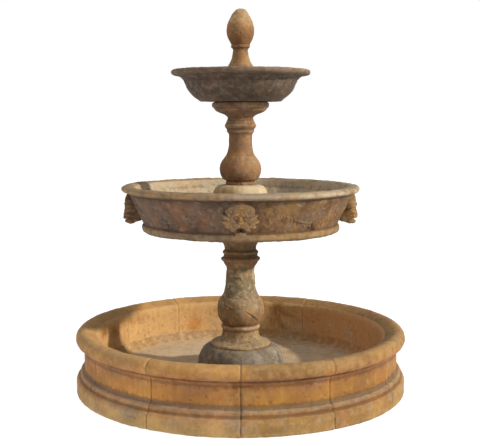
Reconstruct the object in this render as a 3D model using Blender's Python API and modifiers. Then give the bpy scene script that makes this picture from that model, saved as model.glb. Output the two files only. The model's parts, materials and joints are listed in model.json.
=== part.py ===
"""A tiered stone water fountain: a segmented round pool, two bowls on baluster columns and a finial.

Units are metres, +Z is up, and the origin is on the axis at ground level. The front faces -Y.
"""

import math

import bmesh
import bpy
from mathutils import Matrix, Vector

# Driving dimensions
POOL_RADIUS = 0.8128
POOL_SEGMENTS = 12
STEPS_PER_SEGMENT = 3
COPING_TOP = 0.307
WALL_OUTER = 0.7728
WALL_INNER = 0.7003
MORTAR_WIDTH = 0.005
MORTAR_RECESS = 0.0025
FLOOR_TOP = 0.085
FLOOR_EDGE = WALL_INNER - 0.0045
POOL_FACETS = POOL_SEGMENTS * STEPS_PER_SEGMENT

GAP = 0.0003
SHIM_HEIGHT = 0.0034
SEAL_HEIGHT = 0.0029

PLINTH_BOTTOM = FLOOR_TOP + SHIM_HEIGHT + 2 * GAP
PLINTH_TOP = 0.2095
PLINTH_RADIUS = 0.2155
LOWER_COLUMN_TOP = 0.7715
MID_BOWL_BOTTOM = LOWER_COLUMN_TOP + SEAL_HEIGHT + 2 * GAP
MID_RIM_RADIUS = 0.585
MID_RIM_TOP = 1.0095
MID_HUB_TOP = 0.915
SEAT_TOP = 1.009
UPPER_COLUMN_TOP = 1.4115
TOP_BOWL_BOTTOM = UPPER_COLUMN_TOP + SEAL_HEIGHT + 2 * GAP
TOP_RIM_RADIUS = 0.338
TOP_BOSS_TOP = 1.500
FINIAL_TOP = 1.858

LOWER_BORE = 0.028
UPPER_BORE = 0.022
SEAT_BORE = 0.026
MID_HUB_BORE = 0.0325
TOP_HUB_BORE = 0.0265
FINIAL_BORE = 0.0138
NOZZLE_BORE = 0.0098
NOZZLE_SHOULDER = 1.805

HOSE_OUTER = 0.0125
HOSE_INNER = 0.0095
PIPE_OUTER = 0.0092
PIPE_INNER = 0.0078

MASK_ANGLES = {"front": -90, "right": 0, "back": 90, "left": 180}
SPOUT_OUTER = 0.0075
SPOUT_INNER = 0.0060
SPOUT_HOLE = 0.0080
SPOUT_LENGTH = 0.120
SPOUT_TILT = math.radians(25)
MOUTH_THROAT = 0.011
MOUTH_LIP = 0.018
SPOUT_MIDDLE = (0.510, 0.8725)

PUMP_AXIS_Z = 0.128
PUMP_RADIUS = 0.034
VOLUTE_FRONT = -0.018
VOLUTE_BACK = 0.0147
MOTOR_FRONT = 0.0177
MOTOR_BACK = 0.122
STRAINER_FRONT = -0.063
SHAFT_RADIUS = 0.0020
ROTOR_BORE = 0.0021
NECK_TOP = 0.1677

DRAIN_PLACE = (-0.431, -0.431)
DRAIN_HOLE = 0.0220

COLUMN_STEPS = 18
BOWL_STEPS = 32
SMALL_STEPS = 12
FINIAL_STEPS = 20

SHAPES = bpy.data.collections.new("tiered_fountain")
CUTTERS = bpy.data.collections.new("cutters")


def clear_scene():
    for obj in list(bpy.data.objects):
        bpy.data.objects.remove(obj, do_unlink=True)
    for collection in (SHAPES, CUTTERS):
        bpy.context.scene.collection.children.link(collection)
    CUTTERS.hide_render = True


# Materials


def material(name, colour, roughness, metallic=0.0):
    made = bpy.data.materials.get(name)
    if made is None:
        made = bpy.data.materials.new(name)
        made.use_nodes = True
        shader = made.node_tree.nodes["Principled BSDF"]
        shader.inputs["Base Color"].default_value = (*colour, 1.0)
        shader.inputs["Roughness"].default_value = roughness
        shader.inputs["Metallic"].default_value = metallic
        made.diffuse_color = (*colour, 1.0)
    return made


def ochre_stone():
    return material("ochre_stone", (0.40, 0.19, 0.06), 0.9)


def grey_stone():
    return material("grey_stone", (0.17, 0.13, 0.08), 0.9)


def brown_stone():
    return material("brown_stone", (0.21, 0.11, 0.05), 0.9)


def cream_stone():
    return material("cream_stone", (0.42, 0.30, 0.16), 0.9)


def mortar():
    return material("mortar", (0.30, 0.13, 0.04), 0.95)


def copper():
    return material("copper", (0.55, 0.27, 0.15), 0.45, 1.0)


def brass():
    return material("brass", (0.60, 0.45, 0.20), 0.4, 1.0)


def steel():
    return material("stainless_steel", (0.60, 0.60, 0.60), 0.3, 1.0)


def black_rubber():
    return material("black_rubber", (0.03, 0.03, 0.03), 0.8)


def clear_hose():
    return material("clear_hose", (0.60, 0.65, 0.62), 0.25)


def pump_plastic():
    return material("pump_plastic", (0.05, 0.06, 0.07), 0.45)


def dial_plastic():
    return material("dial_plastic", (0.05, 0.20, 0.35), 0.4)


def shim_plastic():
    return material("shim_plastic", (0.70, 0.70, 0.66), 0.5)


def white_ceramic():
    return material("white_ceramic", (0.80, 0.80, 0.78), 0.3)


# Outlines


def arc(centre, radii, first, last, steps):
    """Points (r, z) along an ellipse from the first to the last angle, in degrees."""
    angles = [math.radians(first + (last - first) * i / steps) for i in range(steps + 1)]
    return [(centre[0] + radii[0] * math.cos(a), centre[1] + radii[1] * math.sin(a)) for a in angles]


def smooth(points, steps=3):
    """A Catmull-Rom curve through the points, with steps spans between two of them."""
    ends = [points[0], *points, points[-1]]
    curve = []
    for a, b, c, d in zip(ends, ends[1:], ends[2:], ends[3:]):
        for i in range(steps):
            t = i / steps
            curve.append(
                tuple(
                    q + 0.5 * t * (s - p + t * (2 * p - 5 * q + 4 * s - u + t * (3 * q - p - 3 * s + u)))
                    for p, q, s, u in zip(a, b, c, d)
                )
            )
    return [*curve, points[-1]]


def inset(points, distance):
    """The closed outline moved inwards by about the distance. It runs clockwise in (r, z)."""
    moved = []
    for before, here, after in zip([points[-1], *points[:-1]], points, [*points[1:], points[0]]):
        one = (Vector(here) - Vector(before)).normalized()
        two = (Vector(after) - Vector(here)).normalized()
        inward = Vector((one.y + two.y, -one.x - two.x)).normalized()
        moved.append(tuple(Vector(here) + inward * distance))
    return moved


# Solids


def place(mesh, name, look, cutter=False):
    obj = bpy.data.objects.new(name, mesh)
    (CUTTERS if cutter else SHAPES).objects.link(obj)
    if cutter:
        obj.hide_render = True
        obj.display_type = "WIRE"
    else:
        mesh.materials.append(look)
    return obj


def shade(mesh, angle=35):
    mesh.shade_smooth()
    mesh.set_sharp_from_angle(angle=math.radians(angle))


def from_bmesh(bm, name, look, cutter=False):
    bmesh.ops.recalc_face_normals(bm, faces=bm.faces)
    mesh = bpy.data.meshes.new(name)
    bm.to_mesh(mesh)
    bm.free()
    shade(mesh)
    return place(mesh, name, look, cutter)


def turned(name, profile, look, steps=COLUMN_STEPS, cutter=False):
    """A closed profile of (r, z), down its outer side and up its inner side, turned about Z."""
    mesh = bpy.data.meshes.new(name)
    edges = [(i, (i + 1) % len(profile)) for i in range(len(profile))]
    mesh.from_pydata([(r, 0.0, z) for r, z in profile], edges, [])
    obj = place(mesh, name, look, cutter)
    screw = obj.modifiers.new("Turn", "SCREW")
    screw.steps = steps
    screw.render_steps = steps
    screw.use_merge_vertices = True
    screw.merge_threshold = 0.0001
    screw.use_smooth_shade = True
    return obj


def turned_solid(name, profile, look, steps=COLUMN_STEPS, cutter=False):
    """A profile that starts and ends on the axis, turned about Z."""
    mesh = bpy.data.meshes.new(name)
    mesh.from_pydata([(r, 0.0, z) for r, z in profile], [(i, i + 1) for i in range(len(profile) - 1)], [])
    obj = place(mesh, name, look, cutter)
    screw = obj.modifiers.new("Turn", "SCREW")
    screw.steps = steps
    screw.render_steps = steps
    screw.use_merge_vertices = True
    screw.merge_threshold = 0.0001
    return obj


def tube(name, outer, inner, low, high, look, steps=SMALL_STEPS):
    return turned(name, [(outer, high), (outer, low), (inner, low), (inner, high)], look, steps)


def arc_block(bm, profile, first, sweep, steps):
    """Adds one solid to bm: the profile of (r, z) swept about Z from the first angle."""
    turn = Matrix.Rotation(first, 3, "Z")
    corners = [bm.verts.new(turn @ Vector((r, 0.0, z))) for r, z in profile]
    start = bm.faces.new(corners)
    swept = bmesh.ops.extrude_face_region(bm, geom=[start], use_keep_orig=True)["geom"]
    bmesh.ops.rotate(
        bm,
        cent=(0, 0, 0),
        matrix=Matrix.Rotation(sweep / steps, 3, "Z"),
        verts=[v for v in swept if isinstance(v, bmesh.types.BMVert)],
    )
    for _ in range(steps - 1):
        end = [f for f in swept if isinstance(f, bmesh.types.BMFace)]
        swept = bmesh.ops.extrude_face_region(bm, geom=end)["geom"]
        bmesh.ops.delete(bm, geom=end, context="FACES_ONLY")
        bmesh.ops.rotate(
            bm,
            cent=(0, 0, 0),
            matrix=Matrix.Rotation(sweep / steps, 3, "Z"),
            verts=[v for v in swept if isinstance(v, bmesh.types.BMVert)],
        )


def cylinder(bm, radius, start, end, steps=SMALL_STEPS, end_radius=None):
    """Adds a capped cylinder or cone to bm, from one point to another."""
    start, end = Vector(start), Vector(end)
    along = end - start
    place_at = Matrix.Translation((start + end) / 2) @ along.to_track_quat("Z", "Y").to_matrix().to_4x4()
    bmesh.ops.create_cone(
        bm,
        cap_ends=True,
        segments=steps,
        radius1=radius,
        radius2=radius if end_radius is None else end_radius,
        depth=along.length,
        matrix=place_at,
    )


def box(bm, low, high, turn=0.0):
    """Adds a box to bm between two corners, turned about Z."""
    low, high = Vector(low), Vector(high)
    size = high - low
    matrix = Matrix.Rotation(turn, 4, "Z") @ Matrix.Translation((low + high) / 2)
    bmesh.ops.create_cube(bm, size=1.0, matrix=matrix @ Matrix.Diagonal((*size, 1.0)))


def ball(bm, centre, radii, turn, rings=5, steps=8):
    """Adds an ellipsoid to bm at (r, z), with radii outwards, sideways and upwards, turned about Z."""
    matrix = Matrix.Rotation(turn, 4, "Z") @ Matrix.Translation((centre[0], 0.0, centre[1]))
    bmesh.ops.create_uvsphere(
        bm, u_segments=steps, v_segments=rings, radius=1.0, matrix=matrix @ Matrix.Diagonal((*radii, 1.0))
    )


def boolean(obj, other, operation):
    made = obj.modifiers.new(f"{operation.title()} {other.name}", "BOOLEAN")
    made.object = other
    made.operation = operation
    made.solver = "EXACT"
    return made


def baked(obj, name, look, cutter=False):
    """A mesh object of the evaluated shape, in place of the object."""
    bpy.context.view_layer.update()
    graph = bpy.context.evaluated_depsgraph_get()
    mesh = bpy.data.meshes.new_from_object(obj.evaluated_get(graph))
    mesh.transform(obj.matrix_world)
    bpy.data.objects.remove(obj, do_unlink=True)
    mesh.materials.clear()
    return place(mesh, name, look, cutter)


# Pool


def wall_profile(coping_steps, block_steps):
    """A coping that falls inward from a round nose, a plain wall, a fillet and a plinth block."""
    inner_edge = [(WALL_INNER, 0.2620), (0.7030, 0.2740), (0.7120, 0.2830), (0.7300, 0.2925)]
    nose = arc((0.774, 0.270), (POOL_RADIUS - 0.774, COPING_TOP - 0.270), 112, -56, coping_steps)
    under_coping = [(0.7795, 0.2385), (0.7790, 0.2270), (WALL_OUTER, 0.2140)]
    plinth_fillet = [(WALL_OUTER, 0.122), (0.7775, 0.1125), (0.7905, 0.108), (0.793, 0.101), (0.793, 0.083)]
    plinth_block = arc((0.797, 0.057), (POOL_RADIUS - 0.797, 0.023), 90, 0, block_steps)
    foot = [(POOL_RADIUS, 0.0060), (0.8070, 0.0), (WALL_INNER, 0.0)]
    return inner_edge + nose + under_coping + plinth_fillet + plinth_block + foot


def pool_walls():
    step = 2 * math.pi / POOL_SEGMENTS
    half_joint = MORTAR_WIDTH / 2 / WALL_INNER
    for i in range(POOL_SEGMENTS):
        bm = bmesh.new()
        first = -math.pi / 2 + i * step + half_joint
        arc_block(bm, wall_profile(6, 3), first, step - 2 * half_joint, STEPS_PER_SEGMENT)
        from_bmesh(bm, f"pool_wall_{i + 1:02d}", ochre_stone())


def joint_mortar():
    """One body: the bead round the floor slab's edge, and an upright in each wall joint that runs into it."""
    step = 2 * math.pi / POOL_SEGMENTS
    half_strip = (MORTAR_WIDTH / 2 - 1.1 * GAP) / WALL_INNER
    outline = inset(wall_profile(4, 1), MORTAR_RECESS)
    bead = tube("joint_mortar", WALL_INNER - 2 * GAP, FLOOR_EDGE + GAP, GAP, FLOOR_TOP, mortar(), POOL_FACETS)
    bead.rotation_euler.z = -math.pi / 2
    bm = bmesh.new()
    for i in range(POOL_SEGMENTS):
        arc_block(bm, outline, -math.pi / 2 + i * step - half_strip, 2 * half_strip, 1)
    uprights = from_bmesh(bm, "mortar_uprights", None, cutter=True)
    bm = bmesh.new()
    for i in range(POOL_SEGMENTS):
        low = (WALL_INNER - 0.0030, -0.0017, 0.010)
        box(bm, low, (WALL_INNER + 0.0060, 0.0017, FLOOR_TOP - 0.005), -math.pi / 2 + i * step)
    boolean(bead, from_bmesh(bm, "mortar_links", None, cutter=True), "UNION")
    boolean(bead, uprights, "UNION")


def pool_floor():
    profile = [(0, FLOOR_TOP), (FLOOR_EDGE, FLOOR_TOP), (FLOOR_EDGE, 0), (0, 0)]
    floor = turned_solid("pool_floor", profile, ochre_stone(), POOL_FACETS)
    bm = bmesh.new()
    cylinder(bm, DRAIN_HOLE, (*DRAIN_PLACE, -0.01), (*DRAIN_PLACE, FLOOR_TOP + 0.01))
    boolean(floor, from_bmesh(bm, "drain_cutter", None, cutter=True), "DIFFERENCE")


def at_drain(obj):
    obj.location = (*DRAIN_PLACE, FLOOR_TOP)


def drain():
    """A flanged fitting on a gasket, and a tapered plug with a pull ring that lifts out."""
    at_drain(tube("drain_gasket", 0.031, 0.0222, GAP, 0.0020, black_rubber()))
    flange = 0.0020 + GAP
    fitting = [(0.032, flange + 0.003), (0.032, flange), (0.021, flange), (0.021, -0.053), (0.0165, -0.053)]
    fitting += [(0.0165, -0.018), (0.0185, flange + 0.003)]
    at_drain(turned("drain_fitting", fitting, brass(), SMALL_STEPS))
    lid = flange + 0.003 + GAP
    plug = [(0, lid + 0.006), (0.019, lid + 0.005), (0.022, lid), (0.0176, lid), (0.0158, -0.016), (0, -0.016)]
    stopper = turned_solid("drain_plug", plug, black_rubber(), SMALL_STEPS)
    at_drain(stopper)
    ring = pull_ring("drain_ring_cage", lid + 0.006)
    boolean(stopper, ring, "UNION")


def pull_ring(name, low):
    bm = bmesh.new()
    major, minor, sides, tube_sides = 0.0085, 0.0018, 12, 6
    centre = Vector((*DRAIN_PLACE, FLOOR_TOP + low + major - 0.001))
    loops = []
    for i in range(sides):
        turn = Matrix.Rotation(2 * math.pi * i / sides, 3, "Y")
        points = []
        for j in range(tube_sides):
            a = 2 * math.pi * j / tube_sides
            around = Vector((major + minor * math.cos(a), minor * math.sin(a), 0))
            points.append(bm.verts.new(centre + turn @ around))
        loops.append(points)
    for one, two in zip(loops, [*loops[1:], loops[0]]):
        for j in range(tube_sides):
            k = (j + 1) % tube_sides
            bm.faces.new((one[j], one[k], two[k], two[j]))
    return from_bmesh(bm, name, None, cutter=True)


# Pedestal and lower column


def pedestal_plinth():
    """A hollow cushion of stone round the pump, with an arch at the back and two water inlets."""
    shoulder = 0.150
    rise = PLINTH_TOP - 0.105
    profile = [(0.050, PLINTH_TOP), *arc((shoulder, 0.105), (PLINTH_RADIUS - shoulder, rise), 90, 0, 6)]
    profile += [(PLINTH_RADIUS - 0.002, PLINTH_BOTTOM), (0.155, PLINTH_BOTTOM), (0.15, 0.16), (0.11, 0.188)]
    profile += [(0.050, 0.190)]
    plinth = turned("pedestal_plinth", profile, grey_stone(), 32)
    bm = bmesh.new()
    half_width, spring = 0.045, 0.120
    box(bm, (-half_width, 0.10, 0.05), (half_width, 0.26, spring))
    arch = from_bmesh(bm, "access_arch_foot", None, cutter=True)
    bm = bmesh.new()
    cylinder(bm, half_width, (0, 0.0995, spring), (0, 0.2605, spring), 20)
    boolean(arch, from_bmesh(bm, "access_arch_head", None, cutter=True), "UNION")
    boolean(plinth, baked(arch, "access_arch", None, cutter=True), "DIFFERENCE")
    bm = bmesh.new()
    box(bm, (-0.26, -0.015, 0.05), (-0.12, 0.015, 0.112))
    box(bm, (0.12, -0.015, 0.05), (0.26, 0.015, 0.112))
    boolean(plinth, from_bmesh(bm, "water_inlets", None, cutter=True), "DIFFERENCE")


def levelling_shims():
    low = FLOOR_TOP + GAP
    for i in range(3):
        bm = bmesh.new()
        box(bm, (0.165, -0.010, low), (0.205, 0.010, low + SHIM_HEIGHT), math.radians(30 + 120 * i))
        from_bmesh(bm, f"levelling_shim_{i + 1}", shim_plastic())


def lower_column():
    capital = smooth([(0.118, 0.757), (0.096, 0.732), (0.080, 0.705), (0.079, 0.686)], 2)
    rings = [(0.089, 0.68), (0.09, 0.672), (0.084, 0.666), *arc((0.084, 0.642), (0.0145, 0.01), 80, -60, 3)]
    shaft = [(0.080, 0.612), (0.070, 0.594), (0.0725, 0.545), (0.0755, 0.500), (0.0800, 0.478)]
    bulb = arc((0.067, 0.388), (0.050, 0.078), 60, -62, 6)
    ring = [(0.0885, 0.313), *arc((0.088, 0.301), (0.0085, 0.0095), 60, -60, 2)]
    foot = smooth([(0.0885, 0.286), (0.091, 0.260), (0.104, 0.240), (0.128, 0.230), (0.145, 0.2255)], 2)
    base = [(0.150, 0.2210), (0.150, PLINTH_TOP + GAP)]
    bore = [(LOWER_BORE, PLINTH_TOP + GAP), (LOWER_BORE, LOWER_COLUMN_TOP)]
    profile = [(0.118, LOWER_COLUMN_TOP), *capital, *rings, *shaft, *bulb, *ring, *foot, *base, *bore]
    turned("lower_column", profile, grey_stone())


# Middle bowl


def mid_bowl_profile():
    rim = arc((0.5505, 0.9925), (MID_RIM_RADIUS - 0.5505, MID_RIM_TOP - 0.9925), 180, -72, 7)
    wall = [(0.5470, 0.9725), (0.5150, 0.9050), (0.4745, 0.8205)]
    band = [(0.4835, 0.8170), (0.4870, 0.8095), (0.4860, 0.7960), (0.4780, 0.7850), (0.4640, 0.7810)]
    underside = [(0.150, MID_BOWL_BOTTOM), (MID_HUB_BORE, MID_BOWL_BOTTOM)]
    hub = [(MID_HUB_BORE, MID_HUB_TOP), (0.15, MID_HUB_TOP), (0.16, 0.905), (0.172, 0.866), (0.19, 0.853)]
    inside = [(0.400, 0.853), (0.436, 0.868), (0.460, 0.900), (0.506, 0.964)]
    return rim + wall + band + underside + hub + inside


def lion_mask(name, angle):
    """One lion head in the rough: mane, brow, muzzle and chin."""
    turn = math.radians(angle)
    forms = {
        "mane": ((0.526, 0.898), (0.042, 0.080, 0.068)),
        "brow": ((0.542, 0.930), (0.034, 0.044, 0.024)),
        "muzzle": ((0.538, 0.888), (0.039, 0.036, 0.026)),
        "chin": ((0.533, 0.830), (0.040, 0.027, 0.018)),
    }
    solids = []
    for form, (centre, radii) in forms.items():
        bm = bmesh.new()
        ball(bm, centre, radii, turn)
        solids.append(from_bmesh(bm, f"{name}_{form}", None, cutter=True))
    for other in solids[1:]:
        boolean(solids[0], other, "UNION")
    mask = baked(solids[0], name, None, cutter=True)
    for other in solids[1:]:
        bpy.data.objects.remove(other, do_unlink=True)
    return mask


def spout_ends(angle, radius_from, radius_to):
    """Two points on a spout's sloping centre line, at these distances from the axis."""
    turn = Matrix.Rotation(math.radians(angle), 3, "Z")
    ends = []
    for radius in (radius_from, radius_to):
        fall = (radius - SPOUT_MIDDLE[0]) * math.tan(SPOUT_TILT)
        ends.append(turn @ Vector((radius, 0.0, SPOUT_MIDDLE[1] - fall)))
    return ends


def mid_bowl():
    bowl = turned("mid_bowl", mid_bowl_profile(), grey_stone(), BOWL_STEPS)
    for side, angle in MASK_ANGLES.items():
        boolean(bowl, lion_mask(f"lion_mask_{side}", angle), "UNION")
    bm = bmesh.new()
    for angle in MASK_ANGLES.values():
        cylinder(bm, SPOUT_HOLE, *spout_ends(angle, 0.42, 0.62))
    boolean(bowl, from_bmesh(bm, "spout_holes", None, cutter=True), "DIFFERENCE")
    bm = bmesh.new()
    for angle in MASK_ANGLES.values():
        cylinder(bm, MOUTH_THROAT, *spout_ends(angle, 0.560, 0.60), end_radius=MOUTH_LIP)
    boolean(bowl, from_bmesh(bm, "lion_mouths", None, cutter=True), "DIFFERENCE")


def spout_tubes():
    half = SPOUT_LENGTH / 2
    for side, angle in MASK_ANGLES.items():
        spout = tube(f"spout_tube_{side}", SPOUT_OUTER, SPOUT_INNER, -half, half, copper(), 12)
        turn = math.radians(angle)
        spout.location = (SPOUT_MIDDLE[0] * math.cos(turn), SPOUT_MIDDLE[0] * math.sin(turn), SPOUT_MIDDLE[1])
        spout.rotation_euler = (0.0, math.pi / 2 + SPOUT_TILT, turn)


# Upper stage


def column_seat():
    cushion = arc((0.092, 0.955), (0.0425, SEAT_TOP - 0.955), 90, 0, 5)
    foot = arc((0.092, 0.955), (0.0425, 0.0480), -20, -52, 2)
    low = MID_HUB_TOP + GAP
    bore = [(SEAT_BORE, low), (SEAT_BORE, SEAT_TOP)]
    turned("column_seat", [*cushion, *foot, (0.116, low), *bore], cream_stone())


def upper_column():
    capital = [(0.134, UPPER_COLUMN_TOP), (0.1395, 1.406), (0.140, 1.394), (0.136, 1.386), (0.129, 1.383)]
    neck = smooth([(0.127, 1.376), (0.112, 1.365), (0.076, 1.351), (0.061, 1.338)], 2)
    rings = [(0.063, 1.324), (0.070, 1.313), *arc((0.0635, 1.297), (0.0125, 0.013), 70, -60, 3)]
    rings += [(0.0665, 1.279), (0.0665, 1.267), (0.0605, 1.262)]
    shaft = smooth([(0.0570, 1.252), (0.0590, 1.200), (0.0700, 1.156)], 2)
    bulb = arc((0.052, 1.086), (0.0505, 0.064), 48, -50, 5)
    base = [(0.0735, 1.032), (0.0670, 1.0270), (0.0725, 1.0210), (0.0725, SEAT_TOP + GAP)]
    bore = [(UPPER_BORE, SEAT_TOP + GAP), (UPPER_BORE, UPPER_COLUMN_TOP)]
    turned("upper_column", [*capital, *neck, *rings, *shaft, *bulb, *base, *bore], brown_stone())


def top_bowl():
    lip = arc((0.3225, 1.5545), (TOP_RIM_RADIUS - 0.3225, 0.0135), 180, -90, 6)
    side = smooth([(0.298, 1.5370), (0.276, 1.5170), (0.259, 1.4760), (0.236, 1.4460), (0.2095, 1.4240)], 1)
    base = [(0.1980, TOP_BOWL_BOTTOM), (TOP_HUB_BORE, TOP_BOWL_BOTTOM)]
    boss = [(TOP_HUB_BORE, TOP_BOSS_TOP), (0.088, TOP_BOSS_TOP), (0.098, 1.49), (0.108, 1.468), (0.13, 1.457)]
    inside = [(0.185, 1.457), (0.225, 1.480), (0.247, 1.510), (0.272, 1.533), (0.297, 1.5450)]
    turned("top_bowl", [*lip, *side, *base, *boss, *inside], brown_stone(), BOWL_STEPS)


def finial():
    """A pointed egg over a collar, a flared foot and a round block, bored for the riser and its nozzle."""
    above = [(0.0140, FINIAL_TOP), (0.0200, 1.8555), (0.0390, 1.8350), (0.0510, 1.8110), (0.0610, 1.7880)]
    below = [(0.0670, 1.7570), (0.0640, 1.7300), (0.0550, 1.7070), (0.0445, 1.6890)]
    collar = [(0.0465, 1.6835), (0.0465, 1.6750), (0.0385, 1.6690)]
    foot = [(0.0360, 1.6600), (0.0430, 1.6250), (0.0530, 1.6020), (0.0610, 1.5850), (0.0680, 1.5600)]
    block = [(0.0740, 1.5560), (0.0740, TOP_BOSS_TOP + GAP)]
    riser_bore = [(FINIAL_BORE, TOP_BOSS_TOP + GAP), (FINIAL_BORE, NOZZLE_SHOULDER)]
    nozzle_bore = [(NOZZLE_BORE, NOZZLE_SHOULDER), (NOZZLE_BORE, FINIAL_TOP)]
    profile = [*above, *below, *collar, *foot, *block, *riser_bore, *nozzle_bore]
    turned("finial", profile, brown_stone(), FINIAL_STEPS)


# Water supply


def seals_and_stoppers():
    low = LOWER_COLUMN_TOP + GAP
    tube("mid_bowl_seal", 0.112, 0.034, low, low + SEAL_HEIGHT, black_rubber(), COLUMN_STEPS)
    low = UPPER_COLUMN_TOP + GAP
    tube("top_bowl_seal", 0.130, 0.028, low, low + SEAL_HEIGHT, black_rubber(), COLUMN_STEPS)
    for name, hub, high, low in (
        ("mid_bowl_stopper", MID_HUB_BORE, MID_HUB_TOP - 0.001, MID_HUB_TOP - 0.036),
        ("top_bowl_stopper", TOP_HUB_BORE, TOP_BOSS_TOP - 0.001, TOP_BOSS_TOP - 0.036),
    ):
        wide = hub - 2 * GAP
        bore = PIPE_OUTER + 2 * GAP
        profile = [(wide, high), (wide - 0.003, low), (bore, low), (bore, high)]
        turned(name, profile, black_rubber(), SMALL_STEPS)


def pipes():
    tube("lower_hose", HOSE_OUTER, HOSE_INNER + GAP, NECK_TOP + 0.005, 0.768, clear_hose())
    tube("mid_riser", PIPE_OUTER, PIPE_INNER, 0.740, 0.965, copper())
    tube("upper_hose", HOSE_OUTER, HOSE_INNER + GAP, 0.935, 1.450, clear_hose())
    tube("top_riser", PIPE_OUTER, PIPE_INNER, 1.425, 1.800, copper())


def finial_nozzle():
    """A ring that fits inside the flats of the finial's bore."""
    outer = NOZZLE_BORE * math.cos(math.pi / FINIAL_STEPS) - GAP / 2
    tube("finial_nozzle", outer, 0.0065, NOZZLE_SHOULDER + 0.002, FINIAL_TOP + 0.001, brass())


def hose_clamp():
    """A worm-drive band round the hose, with its screw housing."""
    band = tube("hose_clamp", 0.0146, HOSE_OUTER + GAP, 0.1800, 0.1900, steel())
    bm = bmesh.new()
    box(bm, (-0.0050, -0.0215, 0.1805), (0.0050, -0.0138, 0.1895))
    boolean(band, from_bmesh(bm, "clamp_housing", None, cutter=True), "UNION")


# Pump


def on_pump_axis(obj):
    """Lays an object that was turned about Z along +Y, on the impeller's axis."""
    obj.location = (0.0, 0.0, PUMP_AXIS_Z)
    obj.rotation_euler = (-math.pi / 2, 0.0, 0.0)


def pump_body():
    """The sealed motor, with a blind chamber for the rotor and a small seat for the shaft."""
    seat = SHAFT_RADIUS + GAP
    rear = arc((PUMP_RADIUS - 0.008, MOTOR_BACK - 0.008), (0.008, 0.008), 90, 0, 3)
    profile = [(0, MOTOR_BACK), *rear, (PUMP_RADIUS, MOTOR_FRONT), (0.0145, MOTOR_FRONT), (0.0145, 0.085)]
    profile += [(seat, 0.085), (seat, 0.0965), (0, 0.0965)]
    body = turned_solid("pump_body", profile, pump_plastic(), COLUMN_STEPS)
    on_pump_axis(body)
    bm = bmesh.new()
    box(bm, (-0.027, MOTOR_FRONT + 0.006, 0.0940), (0.027, MOTOR_BACK - 0.010, 0.1100))
    boolean(body, from_bmesh(bm, "pump_base", None, cutter=True), "UNION")


def pump_volute():
    """The pump's front: a cup round the impeller, its inlet, and the outlet neck on top."""
    chamber = 0.0265
    profile = [(PUMP_RADIUS, VOLUTE_BACK), (PUMP_RADIUS, VOLUTE_FRONT), (0.01, VOLUTE_FRONT), (0.01, -0.012)]
    volute = turned("pump_volute", [*profile, (chamber, -0.012), (chamber, VOLUTE_BACK)], pump_plastic())
    on_pump_axis(volute)
    bm = bmesh.new()
    cylinder(bm, 0.0130, (0, 0, PUMP_AXIS_Z + 0.0285), (0, 0, NECK_TOP))
    boolean(volute, from_bmesh(bm, "outlet_neck", None, cutter=True), "UNION")
    bm = bmesh.new()
    cylinder(bm, 0.0075, (0, 0, PUMP_AXIS_Z + 0.0150), (0, 0, NECK_TOP + 0.01))
    boolean(volute, from_bmesh(bm, "outlet_bore", None, cutter=True), "DIFFERENCE")
    middle = (VOLUTE_BACK + MOTOR_FRONT) / 2
    ring = turned("volute_seal", arc((0.0305, middle), (0.0012, 0.0012), 180, -120, 5), black_rubber())
    on_pump_axis(ring)


def impeller():
    """Magnet rotor, back disc and six vanes on a bore that runs on the fixed shaft."""
    rotor, disc = 0.0125, 0.0215
    profile = [(rotor, 0.078), (rotor, 0.0085), (disc, 0.0085), (disc, 0.0062), (ROTOR_BORE, 0.0062)]
    wheel = turned("impeller", [*profile, (ROTOR_BORE, 0.078)], dial_plastic(), COLUMN_STEPS)
    on_pump_axis(wheel)
    bm = bmesh.new()
    for i in range(6):
        turn = Matrix.Rotation(2 * math.pi * i / 6, 4, "Z")
        matrix = turn @ Matrix.Translation((0.013, 0, 0.001)) @ Matrix.Diagonal((0.015, 0.0018, 0.0114, 1))
        bmesh.ops.create_cube(bm, size=1.0, matrix=matrix)
    vanes = from_bmesh(bm, "impeller_vanes", None, cutter=True)
    on_pump_axis(vanes)
    boolean(wheel, vanes, "UNION")
    bm = bmesh.new()
    cylinder(bm, SHAFT_RADIUS, (0, -0.010, PUMP_AXIS_Z), (0, 0.0960, PUMP_AXIS_Z))
    from_bmesh(bm, "impeller_shaft", white_ceramic())


def intake_strainer():
    """A slotted cup that clips over the inlet, with a hole for the flow dial's stem."""
    back = VOLUTE_FRONT - GAP
    wall = 0.0025
    inner_front = STRAINER_FRONT + wall
    inner_radius = PUMP_RADIUS - wall
    profile = [(PUMP_RADIUS, back), (PUMP_RADIUS, STRAINER_FRONT), (0.0046, STRAINER_FRONT)]
    profile += [(0.0046, inner_front), (inner_radius, inner_front), (inner_radius, back)]
    strainer = turned("intake_strainer", profile, pump_plastic())
    on_pump_axis(strainer)
    bm = bmesh.new()
    for i in range(12):
        turn = Matrix.Rotation(2 * math.pi * i / 12, 4, "Z")
        matrix = turn @ Matrix.Translation((PUMP_RADIUS, 0, -0.0395)) @ Matrix.Diagonal((0.016, 0.004, 0.03, 1))
        bmesh.ops.create_cube(bm, size=1.0, matrix=matrix)
    slots = from_bmesh(bm, "strainer_slots", None, cutter=True)
    on_pump_axis(slots)
    boolean(strainer, slots, "DIFFERENCE")


def flow_dial():
    front = STRAINER_FRONT - GAP
    profile = [(0, -0.054), (0.0040, -0.054), (0.0040, front), (0.019, front), (0.019, front - 0.003)]
    dial = turned_solid("flow_dial", [*profile, (0.017, front - 0.004), (0, front - 0.004)], dial_plastic())
    on_pump_axis(dial)
    bm = bmesh.new()
    box(bm, (-0.0025, front - 0.010, PUMP_AXIS_Z - 0.015), (0.0025, front - 0.002, PUMP_AXIS_Z + 0.015))
    boolean(dial, from_bmesh(bm, "dial_grip", None, cutter=True), "UNION")


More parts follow.
